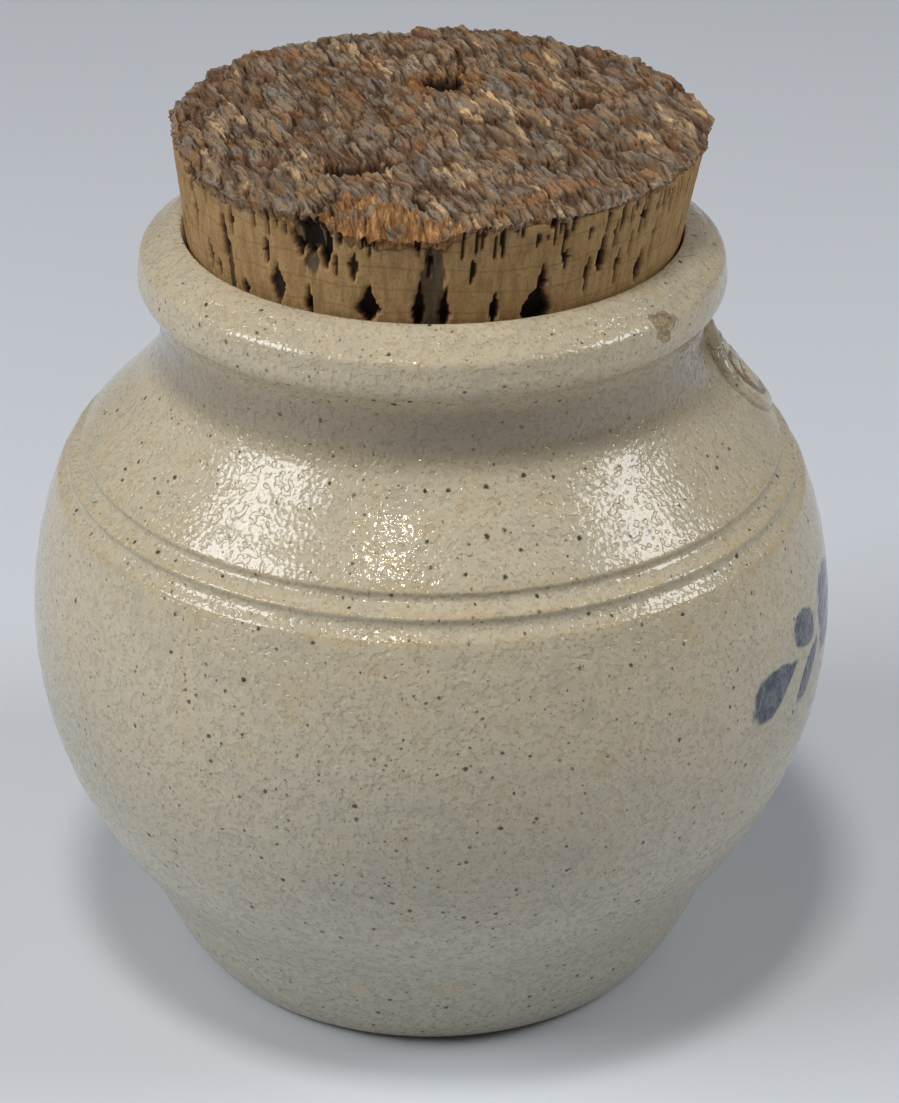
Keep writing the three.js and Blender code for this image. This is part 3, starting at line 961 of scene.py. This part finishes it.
class Wires:
    """Adds nodes to one tree. Its methods take sockets or plain values."""

    def __init__(self, tree):
        self.tree = tree

    def feed(self, socket, value):
        if isinstance(value, bpy.types.NodeSocket):
            self.tree.links.new(value, socket)
        else:
            socket.default_value = value

    def node(self, kind, inputs=None, **settings):
        made = self.tree.nodes.new(kind)
        for name, value in settings.items():
            setattr(made, name, value)
        for key, value in (inputs or {}).items():
            self.feed(made.inputs[key], value)
        return made

    def math(self, operation, *values):
        return self.node("ShaderNodeMath", dict(enumerate(values)), operation=operation).outputs[0]

    def plus(self, first, second):
        return self.math("ADD", first, second)

    def minus(self, first, second):
        return self.math("SUBTRACT", first, second)

    def times(self, first, second):
        return self.math("MULTIPLY", first, second)

    def swing(self, value, width):
        """A value from 0 to 1 as a swing about 0 of the given width."""
        return self.times(self.minus(value, 0.5), width)

    def vector(self, operation, *values, output="Vector"):
        made = self.node("ShaderNodeVectorMath", operation=operation)
        sockets = [socket for socket in made.inputs if socket.enabled]
        for socket, value in zip(sockets, values):
            self.feed(socket, value)
        return made.outputs[output]

    def dot(self, first, second):
        return self.vector("DOT_PRODUCT", first, second, output="Value")

    def combine(self, *values):
        return self.node("ShaderNodeCombineXYZ", dict(enumerate(values))).outputs[0]

    def mix(self, share, first, second):
        return self.node("ShaderNodeMix", {0: share, 6: first, 7: second}, data_type="RGBA").outputs[2]

    def stain(self, ground, mask, low, high, share, colour):
        """The ground, with up to that share of a colour where the mask goes from low to high."""
        return self.mix(self.smooth(mask, low, high, 0.0, share), ground, colour)

    def smooth(self, value, low, high, start=0.0, end=1.0):
        inputs = {0: value, 1: low, 2: high, 3: start, 4: end}
        return self.node("ShaderNodeMapRange", inputs, interpolation_type="SMOOTHSTEP").outputs[0]

    def noise(self, place, size, detail=2.0, roughness=0.5, stretch=None):
        if stretch:
            place = self.vector("MULTIPLY", place, stretch)
        inputs = {"Vector": place, "Scale": 1.0 / size, "Detail": detail, "Roughness": roughness}
        return self.node("ShaderNodeTexNoise", inputs).outputs[0]

    def split(self, place):
        return self.node("ShaderNodeSeparateXYZ", {0: place}).outputs

    def millimetres(self):
        """The place on the piece in millimetres."""
        place = self.node("ShaderNodeTexCoord").outputs["Object"]
        return self.vector("MULTIPLY", place, (1000.0, 1000.0, 1000.0))

    def attribute(self, name):
        return self.node("ShaderNodeAttribute", attribute_name=name).outputs["Fac"]

    def group(self, tree, **inputs):
        made = self.node("ShaderNodeGroup", node_tree=tree)
        for name, value in inputs.items():
            self.feed(made.inputs[name], value)
        return made.outputs


def node_group(name, inputs, outputs):
    """A shader node group with named sockets, with its wires, its inputs and its output node."""
    tree = bpy.data.node_groups.new(name, "ShaderNodeTree")
    for label, kind in inputs:
        tree.interface.new_socket(name=label, in_out="INPUT", socket_type=kind)
    for label, kind in outputs:
        tree.interface.new_socket(name=label, in_out="OUTPUT", socket_type=kind)
    wires = Wires(tree)
    return tree, wires, wires.node("NodeGroupInput").outputs, wires.node("NodeGroupOutput").inputs


FLOAT, VECTOR, COLOUR = "NodeSocketFloat", "NodeSocketVector", "NodeSocketColor"


def iron_specks_group():
    """Round specks of iron: a cell size, a radius and the share of the cells that hold one."""
    tree, wires, given, out = node_group(
        "Iron specks", [("Place", VECTOR), ("Cell", FLOAT), ("Radius", FLOAT), ("Chance", FLOAT)],
        [("Mask", FLOAT)])
    scaled = wires.vector("SCALE", given["Place"], wires.math("DIVIDE", 1.0, given["Cell"]))
    cells = wires.node("ShaderNodeTexVoronoi", {"Vector": scaled, "Scale": 1.0}, feature="F1")
    distance = wires.times(cells.outputs["Distance"], given["Cell"])
    luck = wires.node("ShaderNodeSeparateColor", {0: cells.outputs["Color"]}).outputs
    radius = wires.times(given["Radius"], wires.plus(luck[0], 0.45))
    mask = wires.smooth(distance, radius, wires.times(radius, 0.45))
    wires.feed(out["Mask"], wires.times(mask, wires.math("LESS_THAN", luck[1], given["Chance"])))
    return tree


def orange_peel_group():
    """The dimpled skin of a salt glaze: a height between 0 and 1."""
    tree, wires, given, out = node_group(
        "Orange peel", [("Place", VECTOR), ("Size", FLOAT)], [("Height", FLOAT)])
    scaled = wires.vector("SCALE", given["Place"], wires.math("DIVIDE", 1.0, given["Size"]))
    pebbles = wires.node("ShaderNodeTexNoise", {"Vector": scaled, "Scale": 1.0, "Detail": 1.0,
                                                "Roughness": 0.45}).outputs[0]
    worms = wires.node("ShaderNodeTexNoise", {"Vector": scaled, "Scale": 1.55, "Detail": 0.0,
                                              "Distortion": 0.6}).outputs[0]
    ridges = wires.math("ABSOLUTE", wires.minus(worms, 0.5))
    tops = wires.smooth(pebbles, 0.36, 0.48, 0.0, 0.5)
    wires.feed(out["Height"], wires.plus(tops, wires.times(ridges, 0.35)))
    return tree


def glaze_group(specks, peel, looks):
    """The glaze over the clay: its warm and cool ground, mottle, specks, gloss and dimples."""
    tree, wires, given, out = node_group(
        "Salt glaze", [("Place", VECTOR)],
        [("Color", COLOUR), ("Roughness", FLOAT), ("Height", FLOAT)])
    place = given["Place"]
    height = wires.split(place)[2]
    drift = wires.noise(place, 26.0, 2.0)
    rise = wires.plus(height, wires.swing(drift, 50.0))
    # Warm on the shoulder to cooler and darker low on the belly: partly the glaze's own tone, partly
    # painted shade for the weaker, cooler light there.
    ground = wires.mix(wires.smooth(rise, 10.0, 100.0), tuple(looks.cool), tuple(looks.warm))
    skin = wires.group(peel, Place=place, Size=1.15)["Height"]
    fine = wires.noise(place, 0.5, 2.0, 0.65)
    grain = wires.noise(place, 0.75, 0.0)
    cloud = wires.noise(place, 5.5, 3.0, 0.55)
    # The glaze is lighter on the peel's tops and darker in its dimples: partly its own tone, partly
    # painted shade in the dimples.
    ground = wires.stain(ground, skin, 0.2, 0.6, 0.3, GLAZE_CREAM)
    ground = wires.stain(ground, fine, 0.44, 0.28, 0.6, GLAZE_BROWN)
    ground = wires.stain(ground, fine, 0.58, 0.76, 0.55, GLAZE_PALE)
    ground = wires.stain(ground, cloud, 0.5, 0.72, 0.3, GLAZE_GREY)
    ground = wires.stain(ground, cloud, 0.46, 0.28, 0.28, GLAZE_HONEY)
    wobble = wires.node("ShaderNodeTexNoise", {"Vector": place, "Scale": 2.4, "Detail": 1.0}).outputs[1]
    bent = wires.vector("ADD", place, wires.vector("MULTIPLY", wobble, (0.45, 0.45, 0.45)))
    dust = wires.group(specks, Place=bent, Cell=0.95, Radius=0.17, Chance=0.5)["Mask"]
    brown = wires.group(specks, Place=bent, Cell=1.5, Radius=0.26, Chance=0.5)["Mask"]
    black = wires.group(specks, Place=wires.vector("ADD", bent, (31.0, 7.0, 3.0)),
                        Cell=2.6, Radius=0.38, Chance=0.75)["Mask"]
    ground = wires.mix(wires.times(dust, 0.4), ground, SPECK_DUST)
    ground = wires.mix(wires.times(brown, 0.82), ground, SPECK_BROWN)
    ground = wires.mix(wires.times(black, 0.92), ground, tuple(looks.speck))
    wires.feed(out["Color"], ground)
    gloss = wires.plus(wires.times(cloud, 0.08), wires.times(fine, 0.04))
    dull = wires.smooth(height, 70.0, 8.0, 0.0, 0.16)
    wires.feed(out["Roughness"], wires.plus(wires.plus(gloss, dull), 0.02))
    wires.feed(out["Height"], wires.plus(skin, wires.times(grain, 0.6)))
    return tree


def brush_stroke_group():
    """One brushed stroke on the unrolled wall: a drop shape with a soft edge."""
    tree, wires, given, out = node_group(
        "Brush stroke", [("Place", VECTOR), ("Middle", VECTOR), ("Along", VECTOR), ("Length", FLOAT),
                         ("Width", FLOAT), ("Taper", FLOAT), ("Waver", FLOAT)],
        [("Mask", FLOAT)])
    away = wires.vector("SUBTRACT", given["Place"], given["Middle"])
    side = wires.vector("CROSS_PRODUCT", (0.0, 0.0, 1.0), given["Along"])
    along = wires.math("DIVIDE", wires.dot(away, given["Along"]), given["Length"])
    across = wires.math("DIVIDE", wires.dot(away, side), given["Width"])
    belly = wires.minus(1.0, wires.times(given["Taper"], along))
    across = wires.math("DIVIDE", across, wires.math("MAXIMUM", belly, 0.08))
    reach = wires.math("SQRT", wires.plus(wires.times(along, along), wires.times(across, across)))
    reach = wires.plus(reach, given["Waver"])
    wires.feed(out["Mask"], wires.smooth(reach, 1.06, 0.86))
    return tree


def sprig_strokes():
    """The strokes of the sprig's near half: a flower, a bud, a short stem and its leaves."""
    strokes = list(STEM_STROKES) + list(SIDE_LEAVES)
    for turn in PETAL_TURNS:
        spread = math.radians(turn)
        azimuth = SPRIG_MIDDLE + math.degrees(PETAL_REACH * math.cos(spread) / BELLY_RADIUS)
        height = FLOWER_HEIGHT + 0.75 * PETAL_REACH * math.sin(spread)
        strokes.append((azimuth, height, turn + 180, PETAL_HALF_LENGTH, PETAL_HALF_WIDTH, 0.4))
    return strokes


def sprig_mask(wires, place):
    """The brushed sprig on the belly, from the place in millimetres."""
    stroke_group = brush_stroke_group()
    x, y, z = wires.split(place)
    middle = math.radians(SPRIG_MIDDLE) * BELLY_RADIUS
    around = wires.times(wires.math("ARCTAN2", y, x), BELLY_RADIUS)
    folded = wires.math("ABSOLUTE", wires.minus(around, middle))
    around = wires.minus(middle, folded)
    unrolled = wires.combine(around, z)
    waver = wires.swing(wires.noise(place, 2.4, 3.0), 0.4)
    mask = None
    for azimuth, height, turn, length, width, taper in sprig_strokes():
        middle = (math.radians(azimuth) * BELLY_RADIUS, height, 0.0)
        along = (math.cos(math.radians(turn)), math.sin(math.radians(turn)), 0.0)
        made = wires.group(stroke_group, Place=unrolled, Middle=middle, Along=along, Length=length,
                           Width=width, Taper=taper, Waver=waver)["Mask"]
        mask = made if mask is None else wires.math("MAXIMUM", mask, made)
    return mask


def new_material(name):
    material = bpy.data.materials.new(name)
    material.use_nodes = True
    tree = material.node_tree
    return material, Wires(tree), tree.nodes["Principled BSDF"]


def bump(wires, shader, height, distance, strength=1.0):
    made = wires.node("ShaderNodeBump", {"Height": height})
    made.inputs["Strength"].default_value = strength
    made.inputs["Distance"].default_value = distance
    wires.feed(shader.inputs["Normal"], made.outputs[0])


def glazed_material(looks, glaze):
    """Salt glaze on the crock, with flashing at the grooves, the brushed sprig and bare clay."""
    material, wires, shader = new_material("salt_glaze")
    place = wires.millimetres()
    coat = wires.group(glaze, Place=place)
    height = wires.split(place)[2]
    colour = coat["Color"]
    patch = wires.noise(place, 4.0, 3.0, 0.6)
    for level, spread, strength in FLASH_BANDS:
        away = wires.math("ABSOLUTE", wires.minus(height, level))
        band = wires.smooth(away, spread, 0.0)
        band = wires.times(band, wires.smooth(patch, 0.34, 0.62, 0.0, strength))
        colour = wires.mix(band, colour, tuple(looks.flash))
    # Painted shade: the glaze is painted darker round the neck, where the rim shades it.
    hollow = wires.math("ABSOLUTE", wires.minus(height, NECK_PAINTED_SHADE_HEIGHT))
    colour = wires.stain(colour, hollow, 7.0, 2.0, 0.5, NECK_PAINTED_SHADE)
    mask = sprig_mask(wires, place)
    streak = wires.noise(place, 1.6, 3.0, 0.6)
    blue = wires.mix(wires.smooth(streak, 0.35, 0.68), tuple(looks.cobalt), COBALT_THIN)
    thin = wires.times(mask, wires.smooth(streak, 0.8, 0.4, 0.8, 1.0))
    colour = wires.mix(thin, colour, blue)
    bare = wires.attribute("bare")
    grit = wires.noise(place, 0.5, 4.0, 0.7)
    clay = wires.mix(wires.smooth(grit, 0.4, 0.62), CLAY_DARK, tuple(looks.clay))
    colour = wires.stain(colour, bare, 0.02, 0.3, 0.7, CLAY_EDGE)
    colour = wires.mix(wires.smooth(bare, 0.35, 0.8), colour, clay)
    wires.feed(shader.inputs["Base Color"], colour)
    dull = wires.math("MAXIMUM", coat["Roughness"], wires.times(bare, 0.8))
    wires.feed(shader.inputs["Roughness"], dull)
    shader.inputs["IOR"].default_value = GLAZE_IOR
    rough = wires.plus(coat["Height"], wires.times(wires.times(grit, bare), 2.0))
    bump(wires, shader, rough, looks.peel)
    return material


def medallion_material(looks, glaze):
    """The same glaze over an iron wash that stays in the medallion's hollows."""
    material, wires, shader = new_material("washed_clay")
    place = wires.millimetres()
    coat = wires.group(glaze, Place=place)
    recess = wires.attribute("recess")
    patch = wires.noise(place, 3.2, 4.0, 0.65)
    amount = wires.plus(recess, wires.swing(patch, 1.5))
    blotch = wires.noise(place, 1.1, 3.0)
    wash = wires.mix(wires.smooth(blotch, 0.35, 0.65), tuple(looks.wash), WASH_DARK)
    colour = wires.stain(coat["Color"], amount, 0.1, 0.75, 0.8, wash)
    wires.feed(shader.inputs["Base Color"], colour)
    wires.feed(shader.inputs["Roughness"], wires.plus(coat["Roughness"], wires.times(recess, 0.15)))
    shader.inputs["IOR"].default_value = GLAZE_IOR
    bump(wires, shader, coat["Height"], looks.peel)
    return material


def flesh_colour(wires, looks, place, streaks, cells, cloud):
    """The cork's cut side: streaks, clouds, dark cells and growth lines."""
    flesh = wires.stain(tuple(looks.flesh), streaks, 0.38, 0.7, 0.6, tuple(looks.shade))
    flesh = wires.stain(flesh, cloud, 0.45, 0.75, 0.5, CORK_CLOUD)
    flesh = wires.stain(flesh, cells, 0.5, 0.3, 0.5, CORK_CELL)
    bend = wires.swing(wires.noise(place, 14.0, 2.0), 4.0)
    ring = wires.math("PINGPONG", wires.plus(wires.split(place)[2], bend), 1.7)
    return wires.stain(flesh, ring, 0.28, 0.0, 0.45, tuple(looks.shade))


def bark_colour(wires, looks, place, cloud, fleck):
    """The bark: a tone for each flake, russet and ashen clouds, dark gaps and pale fibres."""
    grain = (math.cos(BARK_GRAIN), math.sin(BARK_GRAIN), 0.0)
    along = wires.times(wires.dot(place, grain), 0.16)
    across = wires.dot(place, (-grain[1], grain[0], 0.0))
    fibre = wires.noise(wires.combine(along, across, wires.split(place)[2]), 0.7, 3.0, 0.65)
    mixed = wires.plus(wires.times(fibre, 0.9), wires.times(fleck, 0.4))
    tone = wires.plus(wires.attribute("flake"), wires.minus(mixed, 0.65))
    ramp = wires.node("ShaderNodeValToRGB", {0: tone})
    stops = ((0.0, BARK_DEEP), (0.2, tuple(looks.bark_brown)), (0.36, BARK_DRAB),
             (0.5, tuple(looks.bark_grey)), (0.62, BARK_TAN), (0.76, BARK_DOVE),
             (0.9, BARK_BUFF), (1.0, BARK_CREAM))
    elements = ramp.color_ramp.elements
    elements[0].position, elements[0].color = stops[0]
    elements[1].position, elements[1].color = stops[-1]
    for position, colour in stops[1:-1]:
        elements.new(position).color = colour
    bark = wires.stain(ramp.outputs[0], cloud, 0.52, 0.66, 0.62, BARK_RUSSET)
    bark = wires.stain(bark, cloud, 0.47, 0.33, 0.62, BARK_ASHEN)
    bark = wires.stain(bark, fibre, 0.42, 0.29, 0.75, BARK_GAP)
    bark = wires.stain(bark, fleck, 0.42, 0.28, 0.6, BARK_FLECK)
    return wires.stain(bark, fibre, 0.6, 0.74, 0.5, BARK_STRAW)


def torn_colour(wires, looks, place, strands, fleck):
    """Fresh cork in strands, where the bark is torn away."""
    fresh = wires.mix(wires.smooth(strands, 0.38, 0.64), TORN_DARK, tuple(looks.torn))
    glints = wires.plus(strands, wires.times(fleck, 0.5))
    fresh = wires.stain(fresh, glints, 0.84, 1.0, 0.8, TORN_PALE)
    blotch = wires.noise(place, 2.4, 3.0, 0.6)
    return wires.stain(fresh, blotch, 0.55, 0.4, 0.75, TORN_DULL)


def cork_material(looks):
    """Natural cork: the cut side, the bark, grey weathered strips, torn cork and dark hollows, partly
    painted shade in the hollows and crevices.
    """
    material, wires, shader = new_material("cork")
    place = wires.millimetres()
    streaks = wires.noise(place, 1.0, 3.0, 0.6, stretch=(1.0, 1.0, 0.16))
    strands = wires.noise(place, 0.6, 3.0, 0.6, stretch=(1.0, 0.2, 0.2))
    cells = wires.noise(place, 0.42, 3.0, 0.65)
    cloud = wires.noise(place, 6.0, 3.0, 0.55)
    fleck = wires.noise(place, 0.6, 4.0, 0.7)
    crust = wires.attribute("crust")
    edge = wires.plus(crust, wires.swing(fleck, 0.5))
    flesh = flesh_colour(wires, looks, place, streaks, cells, cloud)
    bark = bark_colour(wires, looks, place, cloud, fleck)
    colour = wires.mix(wires.smooth(edge, 0.35, 0.62), flesh, bark)
    weather = wires.mix(wires.smooth(streaks, 0.36, 0.66), ASH_DARK, ASH_PALE)
    worn = wires.plus(wires.attribute("ash"), wires.swing(streaks, 0.9))
    colour = wires.stain(colour, worn, 0.3, 0.65, 0.85, weather)
    frayed = wires.plus(wires.attribute("torn"), wires.swing(strands, 1.5))
    colour = wires.stain(colour, frayed, 0.12, 0.4, 0.7, TORN_EDGE)
    fresh = torn_colour(wires, looks, place, strands, fleck)
    colour = wires.stain(colour, frayed, 0.42, 0.66, 0.92, fresh)
    # Painted shade, partly the lenticels' own dark brown: this mask darkens lenticels, pits, crevices and
    # sunken bark.
    pit_and_painted_shade = wires.attribute("pit_and_painted_shade")
    colour = wires.stain(colour, pit_and_painted_shade, 0.06, 0.5, 0.88, tuple(looks.rust))
    colour = wires.stain(colour, pit_and_painted_shade, 0.4, 0.85, 0.95, tuple(looks.hollow))
    wires.feed(shader.inputs["Base Color"], colour)
    wires.feed(shader.inputs["Roughness"], wires.smooth(fleck, 0.2, 0.8, 0.78, 0.96))
    shader.inputs["Specular IOR Level"].default_value = 0.25
    pores = wires.plus(wires.times(cells, 0.6), wires.times(streaks, 0.4))
    bump(wires, shader, wires.plus(pores, wires.times(fleck, crust)), 0.25 * MM, 0.8)
    return material


def floor_material(looks):
    """A plain pale floor with a faint drift of tone."""
    material, wires, shader = new_material("pale_floor")
    place = wires.millimetres()
    drift = wires.noise(place, 240.0, 2.0)
    red, green, blue, _ = looks.floor
    darker = (red * 0.93, green * 0.935, blue * 0.94, 1.0)
    wires.feed(shader.inputs["Base Color"], wires.mix(drift, darker, tuple(looks.floor)))
    shader.inputs["Roughness"].default_value = 0.55
    return material


def shared_glaze(looks):
    """The glaze group that the crock and the medallion both use, made once."""
    found = bpy.data.node_groups.get("Salt glaze")
    return found or glaze_group(iron_specks_group(), orange_peel_group(), looks)


# Operators


class CROCK_OT_crock(bpy.types.Operator):
    """Makes the glazed crock"""

    bl_idname = "crock.crock"
    bl_label = "Make crock"

    def execute(self, context):
        looks = context.scene.crock_looks
        crock_piece(looks, glazed_material(looks, shared_glaze(looks)))
        return {"FINISHED"}


class CROCK_OT_medallion(bpy.types.Operator):
    """Makes the clay medallion on the shoulder"""

    bl_idname = "crock.medallion"
    bl_label = "Make medallion"

    def execute(self, context):
        looks = context.scene.crock_looks
        medallion_piece(looks, medallion_material(looks, shared_glaze(looks)))
        return {"FINISHED"}


class CROCK_OT_cork(bpy.types.Operator):
    """Makes the cork stopper's side and its bark"""

    bl_idname = "crock.cork"
    bl_label = "Make cork stopper"

    def execute(self, context):
        looks = context.scene.cork_looks
        material = cork_material(looks)
        cork_side_piece(looks, material)
        bark_piece(looks, material)
        return {"FINISHED"}


class CROCK_OT_stage(bpy.types.Operator):
    """Makes the camera, the floor and the lights"""

    bl_idname = "crock.stage"
    bl_label = "Make stage"

    def execute(self, context):
        looks = context.scene.stage_looks
        place_camera(context.scene)
        place_floor(context.scene, looks)
        place_lights(context.scene, looks)
        return {"FINISHED"}


def place_camera(scene):
    """The photograph's view of the crock."""
    lens = bpy.data.cameras.new("photo_view")
    lens.sensor_width = SENSOR
    lens.lens = FOCAL_PIXELS / IMAGE_HEIGHT * SENSOR
    camera = bpy.data.objects.new("photo_view", lens)
    scene.collection.objects.link(camera)
    camera.matrix_world = (Matrix.Translation(Vector(CAMERA_PLACE) * MM)
                           @ Matrix.Rotation(-CAMERA_YAW, 4, "Z")
                           @ Matrix.Rotation(math.pi / 2 - CAMERA_PITCH, 4, "X")
                           @ Matrix.Rotation(CAMERA_ROLL, 4, "Z"))
    scene.camera = camera


def place_floor(scene, looks):
    bm = bmesh.new()
    bmesh.ops.create_grid(bm, x_segments=4, y_segments=4, size=FLOOR_HALF_SIZE)
    bmesh.ops.translate(bm, verts=bm.verts, vec=(0, 0, -FLOOR_GAP * MM))
    mesh = bpy.data.meshes.new("floor")
    bm.to_mesh(mesh)
    bm.free()
    mesh.materials.append(floor_material(looks))
    floor = bpy.data.objects.new("floor", mesh)
    scene.collection.objects.link(floor)


def soft_light(scene, name, setting, power, colour, lights=True, shows=True):
    """An area light that faces the crock's shoulder, and may only light or only show in the glaze."""
    azimuth, elevation, distance, size = setting
    light = bpy.data.lights.new(name, "AREA")
    light.shape = "RECTANGLE"
    light.size, light.size_y = size
    light.energy = power
    light.color = colour
    holder = bpy.data.objects.new(name, light)
    scene.collection.objects.link(holder)
    turn, rise = math.radians(azimuth), math.radians(elevation)
    towards = spoke_at(turn) * math.cos(rise) + Vector((0, 0, math.sin(rise)))
    holder.location = Vector((0, 0, LIGHT_AIM * MM)) + towards * distance
    holder.visible_diffuse, holder.visible_glossy = lights, shows
    holder.rotation_euler = towards.to_track_quat("Z", "Y").to_euler()


def place_lights(scene, looks):
    soft_light(scene, "left_window", LEFT_WINDOW, LEFT_SHARE * looks.window_power, DAYLIGHT)
    soft_light(scene, "right_window", RIGHT_WINDOW, RIGHT_SHARE * looks.window_power, DAYLIGHT)
    soft_light(scene, "lamp", LAMP, looks.lamp_power, LAMPLIGHT, lights=False)
    soft_light(scene, "ceiling", CEILING, looks.ceiling_power, CEILING_LIGHT, shows=False)
    world = bpy.data.worlds.new("surround")
    world.use_nodes = True
    background = world.node_tree.nodes["Background"]
    background.inputs["Color"].default_value = SURROUND_LIGHT
    background.inputs["Strength"].default_value = looks.surround
    scene.world = world
    scene.view_settings.view_transform = "Standard"


class CROCK_PT_panel(bpy.types.Panel):
    """Lists the crock's pieces and their looks"""

    bl_idname = "CROCK_PT_panel"
    bl_label = "Stoneware crock"
    bl_space_type = "VIEW_3D"
    bl_region_type = "UI"
    bl_category = "Crock"

    def draw(self, context):
        layout = self.layout
        for operator in PIECES:
            layout.operator(operator.bl_idname)
        for looks in (context.scene.crock_looks, context.scene.cork_looks, context.scene.stage_looks):
            box = layout.box()
            for name in looks.__annotations__:
                box.prop(looks, name)


PIECES = (CROCK_OT_crock, CROCK_OT_medallion, CROCK_OT_cork, CROCK_OT_stage)
CLASSES = (CrockLooks, CorkLooks, StageLooks, *PIECES, CROCK_PT_panel)


def register():
    for made in CLASSES:
        bpy.utils.register_class(made)
    bpy.types.Scene.crock_looks = PointerProperty(type=CrockLooks)
    bpy.types.Scene.cork_looks = PointerProperty(type=CorkLooks)
    bpy.types.Scene.stage_looks = PointerProperty(type=StageLooks)


def unregister():
    del bpy.types.Scene.stage_looks
    del bpy.types.Scene.cork_looks
    del bpy.types.Scene.crock_looks
    for made in reversed(CLASSES):
        bpy.utils.unregister_class(made)


def main():
    register()
    bpy.ops.crock.stage()
    bpy.ops.crock.crock()
    bpy.ops.crock.medallion()
    bpy.ops.crock.cork()


if __name__ == "__main__":
    main()
